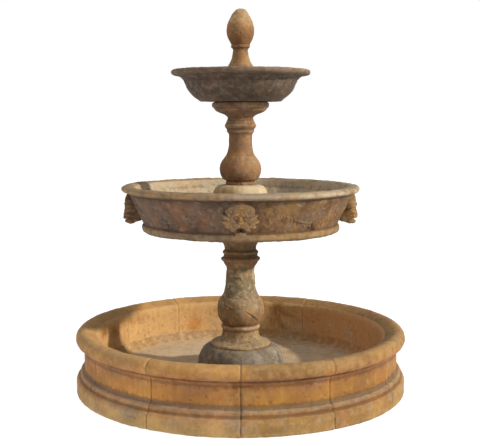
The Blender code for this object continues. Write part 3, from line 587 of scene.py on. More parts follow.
def make_looks():
    """Every material by the name that the pieces use. Most stones carry painted light and shade: a lighter
    right side as the sunlit side, a darker left side as the shade side, and dark bands where shade falls.
    """
    lilac, rust, gold = (0.30, 0.21, 0.16), (0.36, 0.13, 0.035), (0.46, 0.24, 0.06)
    grey, lime = (0.26, 0.215, 0.155), (0.55, 0.44, 0.31)
    outside = ("r", 0.715, 1.0, 0.004)
    inside = ("r", 0.0, 0.715, 0.004)
    behind = ("r", 0.0, 0.712, 0.004)
    side_wall, rim_top = ("z", 0.82, 0.97, 0.01), ("z", 0.980, 1.02, 0.004)
    bowl_inside = [("cone", 0.0, 0.500, 0.003), ("z", 0.845, 1.000, 0.004)]
    LOOKS["pool"] = stone(
        "pool_stone",
        # Painted shade: the dark band at 0.235 is shade under the coping's nose, and the right list's lower
        # level paints the right side darker against the key light from the right.
        [(0.0, (0.34, 0.22, 0.10)), (0.05, (0.40, 0.24, 0.10)), (0.085, (0.36, 0.18, 0.075)),
         (0.10, (0.33, 0.16, 0.065)), (0.112, (0.30, 0.20, 0.13)), (0.122, (0.31, 0.19, 0.12)),
         (0.130, (0.41, 0.19, 0.05)), (0.175, (0.42, 0.19, 0.055)), (0.215, (0.37, 0.18, 0.075)),
         (0.235, (0.26, 0.10, 0.025)), (0.25, (0.34, 0.15, 0.04)), (0.285, (0.38, 0.195, 0.058)),
         (0.305, (0.41, 0.225, 0.080))],
        right=[(0.0, (0.38, 0.24, 0.09)), (0.05, (0.42, 0.25, 0.085)), (0.085, (0.40, 0.20, 0.06)),
               (0.10, (0.33, 0.18, 0.07)), (0.112, (0.32, 0.24, 0.15)), (0.122, (0.31, 0.21, 0.12)),
               (0.130, (0.41, 0.20, 0.04)), (0.175, (0.40, 0.20, 0.05)), (0.215, (0.37, 0.17, 0.06)),
               (0.235, (0.27, 0.10, 0.02)), (0.25, (0.38, 0.17, 0.04)), (0.285, (0.39, 0.215, 0.070)),
               (0.305, (0.43, 0.250, 0.095))],
        patches=[(shaded(lilac, 0.85), 0.11, 0.25, 0.5, [outside, ("z", 0.17, 0.24, 0.02)]),
                 (shaded(rust, 0.75), 0.12, 0.3, 0.35, [outside]),
                 (shaded(gold, 0.72), 0.08, 0.35, 0.6, [outside, ("z", 0.11, 0.19, 0.02)]),
                 (shaded(grey, 0.8), 0.09, 0.4, 0.5, [outside, ("z", 0.03, 0.095, 0.015)]),
                 (shaded(lilac, 0.8), 0.1, 0.8, 0.4, [outside, ("z", 0.100, 0.124, 0.004)]),
                 ((0.54, 0.33, 0.13), 0.2, 0.9, 0.85, [inside, ("z", 0.0, 0.29, 0.02)]),
                 ((0.46, 0.32, 0.19), 0.30, 0.6, 0.55, [inside, ("z", 0.0, 0.19, 0.03)]),
                 # Painted shade: the redder, darker patch on the inside of the right wall, which lies in
                 # shade.
                 ((0.52, 0.25, 0.09), 0.3, 1.3, 0.85, [inside, ("x", 0.36, 0.9, 0.10)]),
                 (shaded(lime, 0.8), 0.12, 0.15, 0.6, [inside, ("x", 0.40, 0.9, 0.05),
                                                       ("z", 0.12, 0.22, 0.02)])],
        lime=((0.46, 0.28, 0.11), 0.35), grit=0.3, level=((1.02, 0.98, 0.80), (0.64, 0.59, 0.42)))
    LOOKS["floor"] = stone(
        "floor_stone", [(0.0, (0.50, 0.36, 0.21)), (0.2, (0.50, 0.36, 0.21))],
        patches=[((0.58, 0.45, 0.29), 0.2, 0.6, 0.7, []), ((0.42, 0.24, 0.10), 0.1, 0.3, 0.6, []),
                 # Painted shadow: the grey strip along the foot of the right wall is the wall's shadow on
                 # the floor, and the dark ring round the plinth's foot is painted shade.
                 ((0.32, 0.25, 0.17), 0.07, 0.6, 0.6, [("r", 0.600, 0.72, 0.025), ("x", 0.15, 0.8, 0.1)]),
                 ((0.20, 0.17, 0.13), 0.05, 0.8, 0.7, [("r", 0.0, 0.245, 0.02)])],
        lime=((0.56, 0.44, 0.30), 0.3), grit=0.35, streaks=0.0)
    LOOKS["plinth"] = stone(
        "plinth_stone", [(0.085, (0.13, 0.110, 0.085)), (0.15, (0.14, 0.122, 0.098)),
                         (0.21, (0.17, 0.145, 0.110))],
        right=[(0.085, (0.17, 0.15, 0.12)), (0.15, (0.22, 0.20, 0.165)), (0.21, (0.26, 0.23, 0.185))],
        patches=[((0.30, 0.28, 0.22), 0.05, 0.4, 0.7, [("x", 0.05, 0.3, 0.05)]),
                 ((0.13, 0.09, 0.08), 0.06, 0.4, 0.6, []),
                 ((0.34, 0.21, 0.13), 0.03, 0.3, 0.6, [("z", 0.195, 0.22, 0.004)])],
        lime=((0.22, 0.18, 0.13), 0.35), grit=0.45, level=((0.64, 0.60, 0.52), (0.68, 0.64, 0.56)))
    LOOKS["lower_column"] = stone(
        "lower_column_stone",
        [(0.21, (0.30, 0.16, 0.07)), (0.235, (0.24, 0.15, 0.08)), (0.27, (0.20, 0.13, 0.075)),
         (0.30, (0.20, 0.10, 0.04)),
         (0.33, (0.16, 0.09, 0.03)), (0.40, (0.15, 0.085, 0.03)), (0.46, (0.17, 0.12, 0.065)),
         (0.53, (0.17, 0.125, 0.07)),
         (0.60, (0.19, 0.12, 0.06)), (0.625, (0.24, 0.11, 0.035)), (0.645, (0.22, 0.10, 0.03)),
         (0.67, (0.20, 0.110, 0.045)),
         (0.70, (0.20, 0.120, 0.055)), (0.74, (0.21, 0.125, 0.055)), (0.765, (0.24, 0.12, 0.040))],
        right=[(0.21, (0.38, 0.23, 0.10)), (0.235, (0.36, 0.26, 0.14)), (0.27, (0.34, 0.24, 0.12)),
               (0.30, (0.38, 0.24, 0.11)),
               (0.33, (0.34, 0.19, 0.07)), (0.40, (0.33, 0.21, 0.10)), (0.46, (0.28, 0.21, 0.12)),
               (0.53, (0.27, 0.20, 0.11)),
               # Painted shadow: the right side darkens from 0.625 up, where the middle bowl's shadow falls.
               (0.60, (0.30, 0.19, 0.09)), (0.625, (0.30, 0.13, 0.04)), (0.645, (0.24, 0.10, 0.025)),
               (0.67, (0.18, 0.10, 0.04)),
               (0.70, (0.18, 0.11, 0.05)), (0.74, (0.19, 0.115, 0.05)), (0.765, (0.23, 0.115, 0.038))],
        split=(-0.07, 0.06),
        patches=[((0.42, 0.36, 0.22), 0.03, 0.35, 0.7, [("z", 0.42, 0.62, 0.05)]),
                 ((0.34, 0.15, 0.05), 0.04, 0.35, 0.6, [("z", 0.28, 0.45, 0.03)]),
                 # The pale patch on the ring at z 0.29 to 0.31, right of the axis, is a painted highlight.
                 ((0.12, 0.10, 0.05), 0.04, 0.35, 0.6, []), ((0.46, 0.30, 0.20), 0.05, 0.6, 0.7,
                                                             [("z", 0.292, 0.312, 0.004),
                                                              ("x", 0.0, 0.2, 0.03)])],
        lime=((0.42, 0.33, 0.20), 0.45), grit=0.6, hollow_dirt_and_shade=0.65, wobble=0.012,
        level=((1.02, 0.95, 0.80), (0.95, 0.92, 0.90)))
    LOOKS["mid_bowl"] = stone(
        "mid_bowl_stone",
        # Painted shade: the dark bands at 0.77, 0.824 and 0.968 are shade under the band, in the groove
        # above it and under the rim.
        [(0.77, (0.13, 0.08, 0.045)), (0.795, (0.21, 0.135, 0.075)), (0.812, (0.22, 0.14, 0.078)),
         (0.824, (0.12, 0.07, 0.04)),
         (0.87, (0.155, 0.090, 0.056)), (0.93, (0.160, 0.094, 0.060)), (0.968, (0.10, 0.058, 0.034)),
         (0.978, (0.20, 0.115, 0.06)),
         (0.997, (0.28, 0.175, 0.09)), (1.01, (0.30, 0.21, 0.125))],
        right=[(0.77, (0.14, 0.075, 0.03)), (0.795, (0.30, 0.19, 0.09)), (0.812, (0.30, 0.19, 0.09)),
               (0.824, (0.16, 0.075, 0.025)),
               (0.87, (0.215, 0.112, 0.040)), (0.93, (0.21, 0.115, 0.046)), (0.968, (0.12, 0.065, 0.028)),
               (0.978, (0.24, 0.155, 0.09)),
               (0.997, (0.34, 0.26, 0.165)), (1.01, (0.38, 0.30, 0.20))],
        split=(-0.15, 0.25),
        patches=[((0.20, 0.085, 0.036), 0.13, 0.45, 0.75, [side_wall, ("x", -0.42, -0.08, 0.08),
                                                           ("r", 0.44, 0.7, 0.01)]),
                 ((0.22, 0.115, 0.034), 0.09, 0.5, 0.75, [side_wall, ("x", 0.05, 0.7, 0.06)]),
                 ((0.13, 0.098, 0.075), 0.07, 0.3, 0.55, [side_wall]),
                 ((0.30, 0.235, 0.165), 0.10, 0.9, 0.7, [rim_top, ("x", -0.12, 0.2, 0.06)]),
                 ((0.34, 0.180, 0.058), 0.07, 0.45, 0.7, [("z", 0.975, 1.02, 0.004),
                                                          ("x", -0.7, -0.1, 0.06)]),
                 # Painted highlight: the pale patch on the right of the rim top.
                 ((0.46, 0.37, 0.26), 0.06, 0.6, 0.7, [rim_top, ("x", 0.25, 0.7, 0.06)]),
                 ((0.45, 0.375, 0.26), 0.5, 1.3, 0.95, bowl_inside),
                 ((0.42, 0.235, 0.085), 0.16, 0.35, 0.6, bowl_inside)],
        lime=((0.28, 0.20, 0.12), 0.25), grit=0.3, hollow_dirt_and_shade=0.45, wobble=0.012,
        level=((0.84, 0.84, 0.82), (0.66, 0.59, 0.45)))
    LOOKS["mask"] = stone(
        "mask_stone", [(0.80, (0.17, 0.100, 0.050)), (0.88, (0.20, 0.118, 0.055)),
                       (0.98, (0.19, 0.115, 0.058))],
        right=[(0.80, (0.24, 0.130, 0.045)), (0.88, (0.36, 0.215, 0.075)), (0.98, (0.30, 0.175, 0.070))],
        split=(-0.30, 0.05),
        patches=[((0.34, 0.20, 0.070), 0.05, 0.3, 0.5, []), ((0.165, 0.115, 0.085), 0.045, 0.5, 0.7, [])],
        lime=((0.30, 0.20, 0.10), 0.3), grit=0.35, level=((0.88, 0.82, 0.70), (0.88, 0.82, 0.70)),
        hollow_dirt_and_shade=0.6, wobble=0.012)
    LOOKS["seat"] = stone(
        "seat_stone", [(0.91, (0.26, 0.16, 0.06)), (0.97, (0.30, 0.19, 0.07)), (1.01, (0.46, 0.34, 0.18))],
        right=[(0.91, (0.40, 0.30, 0.17)), (0.97, (0.46, 0.37, 0.24)), (1.01, (0.52, 0.42, 0.28))],
        split=(-0.08, 0.04),
        # Painted shade: the darker patch on the left half of the seat.
        patches=[((0.28, 0.16, 0.05), 0.04, 0.5, 0.7, [("x", -0.2, 0.0, 0.03)])],
        lime=((0.54, 0.43, 0.27), 0.4), grit=0.35)
    LOOKS["upper_column"] = stone(
        "upper_column_stone",
        # Painted shadow: both sides darken towards the capital, where the top bowl's shadow falls.
        [(1.01, (0.14, 0.07, 0.03)), (1.04, (0.17, 0.085, 0.035)), (1.10, (0.20, 0.10, 0.04)),
         (1.15, (0.25, 0.13, 0.04)),
         (1.20, (0.20, 0.10, 0.045)), (1.26, (0.18, 0.095, 0.045)), (1.29, (0.14, 0.09, 0.055)),
         (1.33, (0.20, 0.11, 0.05)),
         (1.37, (0.16, 0.09, 0.045)), (1.41, (0.15, 0.085, 0.05))],
        right=[(1.01, (0.20, 0.11, 0.05)), (1.04, (0.24, 0.14, 0.065)), (1.10, (0.32, 0.20, 0.105)),
               (1.15, (0.35, 0.24, 0.13)),
               (1.20, (0.27, 0.155, 0.075)), (1.26, (0.22, 0.13, 0.06)), (1.29, (0.21, 0.13, 0.06)),
               (1.33, (0.25, 0.14, 0.05)),
               (1.37, (0.18, 0.10, 0.045)), (1.41, (0.19, 0.11, 0.055))],
        split=(-0.05, 0.05),
        patches=[((0.40, 0.24, 0.13), 0.04, 0.35, 0.6, [("x", 0.0, 0.2, 0.03)]),
                 ((0.13, 0.08, 0.05), 0.05, 0.4, 0.6, []),
                 ((0.28, 0.13, 0.05), 0.05, 0.35, 0.5, [])],
        lime=((0.36, 0.25, 0.14), 0.3), grit=0.4, wobble=0.012,
        level=((0.86, 0.80, 0.70), (0.82, 0.75, 0.65)))
    LOOKS["top_bowl"] = stone(
        "top_bowl_stone",
        # Painted shade on the dark body, which faces down, and a painted highlight on the cream right side
        # of the lip from 1.56 up.
        [(1.41, (0.11, 0.07, 0.04)), (1.44, (0.092, 0.06, 0.038)), (1.50, (0.088, 0.058, 0.038)),
         (1.535, (0.11, 0.07, 0.045)),
         (1.548, (0.18, 0.11, 0.06)), (1.56, (0.20, 0.13, 0.08)), (1.57, (0.22, 0.15, 0.10))],
        right=[(1.41, (0.10, 0.065, 0.035)), (1.44, (0.10, 0.068, 0.036)), (1.50, (0.11, 0.075, 0.04)),
               (1.535, (0.12, 0.08, 0.04)),
               (1.548, (0.22, 0.14, 0.07)), (1.56, (0.34, 0.26, 0.17)), (1.57, (0.42, 0.34, 0.23))],
        split=(-0.05, 0.3),
        patches=[((0.14, 0.075, 0.04), 0.08, 0.35, 0.6, []), ((0.16, 0.13, 0.09), 0.03, 0.35, 0.6, []),
                 ((0.065, 0.045, 0.028), 0.06, 0.4, 0.6, [])],
        lime=((0.34, 0.26, 0.17), 0.4), grit=0.35, edge=((0.17, 0.12, 0.08), 0.15), wobble=0.008,
        level=((0.68, 0.60, 0.55), (0.70, 0.62, 0.58)))
    LOOKS["finial"] = stone(
        "finial_stone",
        [(1.50, (0.33, 0.20, 0.085)), (1.60, (0.34, 0.21, 0.090)), (1.66, (0.26, 0.130, 0.04)),
         (1.69, (0.21, 0.105, 0.04)),
         (1.75, (0.24, 0.115, 0.036)), (1.80, (0.29, 0.150, 0.052)), (1.86, (0.36, 0.26, 0.13))],
        right=[(1.50, (0.40, 0.31, 0.19)), (1.60, (0.42, 0.34, 0.20)), (1.66, (0.36, 0.22, 0.08)),
               (1.69, (0.28, 0.15, 0.05)),
               (1.75, (0.32, 0.185, 0.08)), (1.80, (0.40, 0.28, 0.15)), (1.86, (0.44, 0.36, 0.22))],
        split=(-0.05, 0.05),
        # The cream patch over the top of the egg is a painted highlight.
        patches=[((0.16, 0.12, 0.06), 0.03, 0.35, 0.6, []), ((0.46, 0.38, 0.24), 0.03, 0.35, 0.6,
                                                             [("z", 1.79, 1.9, 0.02)])],
        lime=((0.48, 0.38, 0.22), 0.3), grit=0.4, hollow_dirt_and_shade=0.5, wobble=0.012,
        level=((0.97, 0.82, 0.68), (0.97, 0.82, 0.68)))
    LOOKS["mortar"] = stone(
        "joint_mortar_mix", [(0.0, (0.20, 0.10, 0.04)), (0.4, (0.20, 0.085, 0.03))],
        patches=[((0.50, 0.30, 0.11), 0.3, 0.99, 0.95, [behind]),
                 ((0.46, 0.32, 0.19), 0.30, 0.6, 0.55, [behind]),
                 # Painted shade: the redder, darker patch on the inside of the right wall, which lies in
                 # shade.
                 ((0.52, 0.25, 0.09), 0.3, 1.3, 0.8, [behind, ("x", 0.36, 0.9, 0.10)])],
        lime=((0.52, 0.38, 0.22), 0.5), grit=0.35)
    LOOKS["copper"] = worn_metal("aged_copper", (0.42, 0.20, 0.11), (0.22, 0.11, 0.07), (0.14, 0.27, 0.21),
                                 0.42)
    LOOKS["brass"] = worn_metal("aged_brass", (0.45, 0.33, 0.15), (0.26, 0.18, 0.09), (0.12, 0.13, 0.08),
                                0.38)
    LOOKS["steel"] = worn_metal("steel_band", (0.56, 0.56, 0.55), (0.42, 0.42, 0.41), (0.32, 0.24, 0.16),
                                0.3)
    LOOKS["rubber"] = moulded("moulded_rubber", (0.028, 0.028, 0.028), 0.75)
    LOOKS["hose"] = moulded("milky_vinyl", (0.52, 0.56, 0.52), 0.3)
    LOOKS["pump"] = moulded("pump_casing", (0.035, 0.042, 0.05), 0.45)
    LOOKS["dial"] = moulded("blue_plastic", (0.04, 0.16, 0.30), 0.38)
    LOOKS["ceramic"] = moulded("white_ceramic", (0.78, 0.78, 0.75), 0.25, dust=0.04)
    LOOKS["shim"] = moulded("shim_moulding", (0.62, 0.61, 0.56), 0.5)


# Stone pieces

def weathering(seed, lump=0.0012, grain=0.0009, pit=0.0014):
    """A shape that adds the dents, rough grain and pits that any of these castings has."""

    def shape(grid, angles):
        added = lump * rough(grid, 0.09, 3, seed) + grain * rough(grid, 0.022, 3, seed + 11)
        return added - pit * pits(grid, 0.011, 0.42,
                                  seed + 23) - 1.4 * pit * pits(grid, 0.024, 0.30, seed + 31)

    return shape


def wall_outline():
    inner_edge = [(WALL_INNER, 0.2620), (0.7030, 0.2740), (0.7120, 0.2830), (0.7300, 0.2925)]
    nose = arc((0.774, 0.270), (POOL_RADIUS - 0.774, COPING_TOP - 0.270), 112, -56, 20)
    under = [(0.7795, 0.2385), (0.7790, 0.2270), (WALL_OUTER, 0.2140)]
    fillet = [(WALL_OUTER, 0.1220), (0.7775, 0.1125), (0.7905, 0.1080), (0.7930, 0.1010), (0.7930, 0.0830)]
    block = arc((0.797, 0.057), (POOL_RADIUS - 0.797, 0.023), 90, 0, 8)
    foot = [(POOL_RADIUS, 0.0060), (0.8070, 0.0004)]
    return inner_edge + nose + under + fillet + block + foot + [(WALL_INNER, 0.0004)]


def pool_walls():
    """Twelve lengths of moulded wall, with chipped arrises where they meet."""
    tones = (0.1, -0.35, 0.35, 0.0, -0.2, 0.3, -0.1, 0.2, -0.3, 0.15, 0.55, -0.15)
    step = TAU / POOL_PIECES
    half_joint = 0.0006 / WALL_INNER
    base = weathering(WALL_WEAR)
    for i in range(POOL_PIECES):
        first = -TAU / 4 + i * step + half_joint
        last = first + step - 2 * half_joint

        def shape(grid, angles, first=first, last=last, seed=70 + i):
            radius = np.hypot(grid[..., 0], grid[..., 1])
            end = np.minimum(angles - first, last - angles) * radius
            outer = ease(radius, 0.716, 0.730)
            bite = 0.0016 + 0.0022 * ease(rough(grid, 0.03, 3, seed), 0.15, 1.0)
            chip = ease(rough(grid, 0.05, 3, seed + 5), 0.9, 1.3) * 0.004
            slip = 0.0007 * math.sin(3.1 * seed)
            worn_end = bite * (1 - ease(end, 0.0, 0.0035)) + chip * (1 - ease(end, 0.0, 0.012))
            return base(grid, angles) + outer * (slip - worn_end)

        wall = turned(f"wall_length_{i + 1:02d}", wall_outline(), 64, 0.0066, 0.0022, shape, (first, last),
                      tones[i])
        show(wall, LOOKS["pool"], "fountain", "ochre_stone", f"pool_wall_{i + 1:02d}")


def inset_outline(outline, distance):
    line = resampled(np.array(outline, float), lambda p: 0.006, True)
    along = np.roll(line, -1, 0) - np.roll(line, 1, 0)
    across = np.column_stack([along[:, 1], -along[:, 0]])
    return line + distance * across / np.linalg.norm(across, axis=1)[:, None]


def mortar():
    """The pointing in the wall joints, and the cove round the floor."""
    step = TAU / POOL_PIECES
    half = 0.0010 / WALL_INNER
    pieces = []
    outline = inset_outline(wall_outline(), 0.0010)
    shape = weathering(WALL_WEAR)
    for i in range(POOL_PIECES):
        middle = -TAU / 4 + i * step
        pieces.append(turned(f"upright_{i}", outline, 3, 0.006, 0.002, shape,
                             (middle - half, middle + half)))
    edge = [*arc((0.652, 0.1350), (0.0493, 0.0495), 0, -90, 12)]
    edge += [(0.652, FLOOR_TOP - 0.002), (FLOOR_EDGE - 0.002, 0.02), (WALL_INNER + 0.001, 0.02)]
    pieces.append(turned("floor_cove", edge[::-1], 360, 0.004, 0.0012, weathering(170, 0.0008, 0.0006)))
    joined = join("wall_pointing", pieces)
    show(joined, LOOKS["mortar"], "fountain", "mortar", "joint_mortar")


def join(name, pieces):
    with bpy.context.temp_override(active_object=pieces[0], selected_editable_objects=pieces):
        bpy.ops.object.join()
    pieces[0].name = name
    return pieces[0]


def floor_slab():
    def shape(grid, angles):
        top = ease(grid[..., 2], FLOOR_TOP - 0.01, FLOOR_TOP)
        swell = 0.0012 * rough(grid, 0.16, 4, 5) + 0.0006 * rough(grid, 0.03, 3, 6)
        return top * (swell - 0.0008) - 0.0012 * top * pits(grid, 0.012, 0.35, 7)

    outline = [(0.0015, FLOOR_TOP), (FLOOR_EDGE - 0.001, FLOOR_TOP), (FLOOR_EDGE - 0.001, 0.0004),
               (0.0015, 0.0004)]
    outline = outline[1:] + outline[:1]

    def pitch(p):
        return np.where(p[:, 1] > FLOOR_TOP - 0.004, 0.007, 0.03)

    slab = turned("pool_floor_slab", outline, 240, pitch, 0.0015, shape)
    cut_away(slab, cylinder("drain_cut", 0.0222, (DRAIN.x, DRAIN.y, -0.02), (DRAIN.x, DRAIN.y, 0.12)))
    show(slab, LOOKS["floor"], "fountain", "ochre_stone", "pool_floor")


def plinth():
    """The hollow grey cushion under the column, with its access arch and water inlets."""
    shoulder = 0.150
    rise = PLINTH_HIGH - 0.105
    outline = [(0.050, PLINTH_HIGH), *arc((shoulder, 0.105), (PLINTH_RADIUS - shoulder, rise), 90, 0, 24)]
    outline += [(PLINTH_RADIUS - 0.002, PLINTH_LOW), (0.155, PLINTH_LOW), (0.150, 0.160), (0.110, 0.188),
                (0.050, 0.190)]
    base = weathering(210, 0.0016, 0.0011, 0.0018)

    def shape(grid, angles):
        return base(grid, angles) - 0.0025 * ease(rough(grid, 0.05, 3, 215), 0.7, 1.2)

    piece = turned("column_plinth", outline, 200, 0.0055, 0.0022, shape)
    half, spring = 0.045, 0.120
    arch = cube("arch_foot", (-half, 0.10, 0.05), (half, 0.26, spring))
    head = cylinder("arch_head", half - 0.0002, (0, 0.0998, spring - 0.0003), (0, 0.2602, spring - 0.0003))
    cut_away(piece, arch, head)
    inlets = [cube(f"inlet_{side}", (min(a, b), -0.015, 0.05), (max(a, b), 0.015, 0.112))
              for side, a, b in (("left", -0.26, -0.12), ("right", 0.12, 0.26))]
    cut_away(piece, *inlets)
    show(piece, LOOKS["plinth"], "fountain", "grey_stone", "pedestal_plinth")


def crack(grid, angles, start, end, depth, lip, radius=0.1, wander=0.006, seed=0):
    """A crack from one (angle in degrees, height) to another, whose upper side stands proud."""
    turn = (np.degrees(angles) + 90 + 180) % 360 - 180
    across, height = np.radians(turn) * radius, grid[..., 2] + wander * rough(grid, 0.04, 3, seed)
    a = np.array([math.radians(start[0]) * radius, start[1]])
    b = np.array([math.radians(end[0]) * radius, end[1]])
    along = b - a
    length = np.linalg.norm(along)
    along /= length
    run = (across - a[0]) * along[0] + (height - a[1]) * along[1]
    side = -(across - a[0]) * along[1] + (height - a[1]) * along[0]
    ends = ease(run, -0.012, 0.02) * ease(run, length + 0.012, length - 0.02)
    groove = np.exp(-((side / 0.0026) ** 2))
    proud = ease(side, -0.001, 0.003) * np.exp(-np.maximum(side, 0) / 0.022)
    sunk = ease(side, 0.001, -0.003) * np.exp(-np.maximum(-side, 0) / 0.018)
    return ends * (-depth * groove + lip * proud - 0.7 * lip * sunk)


def lower_column():
    capital = smooth([(0.118, 0.757), (0.096, 0.732), (0.080, 0.705), (0.079, 0.686)])
    rings = [(0.089, 0.680), (0.090, 0.672), (0.084, 0.666), *arc((0.084, 0.642), (0.0145, 0.010), 80, -60,
                                                                  10)]
    shaft = smooth([(0.080, 0.612), (0.070, 0.594), (0.0720, 0.553), (0.0748, 0.510), (0.0825, 0.475),
                    (0.094, 0.452)])
    bulb = arc((0.067, 0.388), (0.050, 0.078), 52, -62, 24)
    ring = [(0.0885, 0.313), *arc((0.088, 0.301), (0.0085, 0.0095), 60, -60, 8)]
    foot = smooth([(0.0885, 0.286), (0.091, 0.260), (0.104, 0.240), (0.128, 0.230), (0.145, 0.2255)])
    outline = [(0.118, COLUMN_HIGH), *capital, *rings, *shaft, *bulb, *ring, *foot, (0.150, 0.2210)]
    outline += [(0.150, COLUMN_LOW), (0.028, COLUMN_LOW), (0.028, COLUMN_HIGH)]
    base = weathering(310, 0.0014, 0.0014, 0.0020)
    cracks = [((-72, 0.462), (-16, 0.402)), ((12, 0.398), (50, 0.350)), ((-28, 0.562), (4, 0.538)),
              ((72, 0.530), (100, 0.508)), ((112, 0.442), (166, 0.388)), ((212, 0.424), (262, 0.372))]

    def shape(grid, angles):
        radius = np.hypot(grid[..., 0], grid[..., 1])
        body = ease(radius, 0.04, 0.06) * ease(grid[..., 2], 0.318, 0.335) * ease(grid[..., 2], 0.615, 0.600)
        added = base(grid, angles)
        for number, (start, end) in enumerate(cracks):
            for turn in (0, -360):
                shifted = ((start[0] + turn, start[1]), (end[0] + turn, end[1]))
                added = added + body * crack(grid, angles, *shifted, 0.0032, 0.0022, wander=0.011,
                                             seed=320 + number)
        gouge = ease(rough(grid, 0.028, 3, 350), 0.85, 1.25) * body
        return added - 0.004 * gouge - 0.0006 * ease(radius, 0.04, 0.06)

    def pitch(p):
        return np.where(p[:, 0] > 0.05, 0.0034, 0.02)

    piece = turned("baluster_lower", outline, 200, pitch, 0.0016, shape)
    show(piece, LOOKS["lower_column"], "fountain", "olive_stone", "lower_column")


# Middle bowl

def bowl_wall_radius(height):
    """The middle bowl's outer face between its band and its rim."""
    return np.interp(height, [0.8205, 0.9050, 0.9725], [0.4745, 0.5150, 0.5470])


def mid_bowl():
    rim = arc((0.5505, 0.9925), (MID_RIM_RADIUS - 0.5505, BOWL_HIGH - 0.9925), 180, -72, 24)
    wall = [(0.5470, 0.9725), (0.5150, 0.9050), (0.4745, 0.8205)]
    band = [(0.4835, 0.8170), (0.4870, 0.8095), (0.4860, 0.7960), (0.4780, 0.7850), (0.4640, 0.7810)]
    hub = [(0.150, BOWL_LOW), (0.0325, BOWL_LOW), (0.0325, 0.9147), (0.150, 0.9147), (0.160, 0.905),
           (0.172, 0.866)]
    inside = [(0.190, 0.853), (0.400, 0.853), (0.436, 0.868), (0.460, 0.900), (0.506, 0.964)]
    outer_wear, inner_wear = weathering(410, 0.0018, 0.0014, 0.0018), weathering(410, 0.0016, 0.0006, 0.0003)

    def shape(grid, angles):
        radius, height = np.hypot(grid[..., 0], grid[..., 1]), grid[..., 2]
        face = ease(radius, 0.463, 0.474) * ease(height, 0.818, 0.828) * ease(height, 0.978, 0.964)
        carved = 0.0024 * rough(grid, 0.055, 4, 430) + 0.001 * ease(rough(grid, 0.03, 3, 440), 0.3, 0.9)
        rim_dent = ease(height, 0.975, 0.99) * ease(rough(grid, 0.06, 3, 450), 0.75, 1.25) * 0.004
        inner = ease(radius - 0.48 * (height - 0.9), 0.502, 0.496) * ease(height, 0.840, 0.850)
        wear = inner * inner_wear(grid, angles) + (1 - inner) * outer_wear(grid, angles)
        return wear + face * carved - rim_dent

    def pitch(p):
        outer = (p[:, 0] > 0.47) & (p[:, 1] > 0.79)
        return np.where(outer, 0.0048, np.where(p[:, 1] > 0.86, 0.008, 0.016))

    outline = rim + wall + band + hub + inside
    piece = turned("bowl_middle", outline, 460, pitch, 0.0018, shape)
    show(piece, LOOKS["mid_bowl"], "fountain", "bowl_stone", "mid_bowl")


def ellipsoid(p, centre, radii, tilt=0.0):
    """Signed distance to an ellipsoid, tilted in the plane of the wall."""
    q = p - np.array(centre)
    if tilt:
        cos, sin = math.cos(tilt), math.sin(tilt)
        q = np.stack([q[..., 0] * cos + q[..., 1] * sin, -q[..., 0] * sin + q[..., 1] * cos, q[..., 2]], -1)
    scaled = np.sqrt(((q / radii) ** 2).sum(-1)) + 1e-9
    slope = np.sqrt(((q / np.square(radii)) ** 2).sum(-1)) + 1e-9
    return scaled * (scaled - 1) / slope


def merged(one, two, blend):
    """The smooth union of two fields."""
    h = np.clip(0.5 + 0.5 * (two - one) / blend, 0, 1)
    return two * (1 - h) + one * h - blend * h * (1 - h)


def hollowed(one, two, blend):
    """The first field with the second one taken out."""
    return -merged(-one, two, blend)


def on_wall(angle):
    """Moves points (along the wall, height, distance from the axis) to their place round the bowl."""
    reach = 0.53

    def warp(points):
        turn = math.radians(angle) + points[:, 0] / reach
        return np.column_stack([points[:, 2] * np.cos(turn), points[:, 2] * np.sin(turn), points[:, 1]])

    return warp


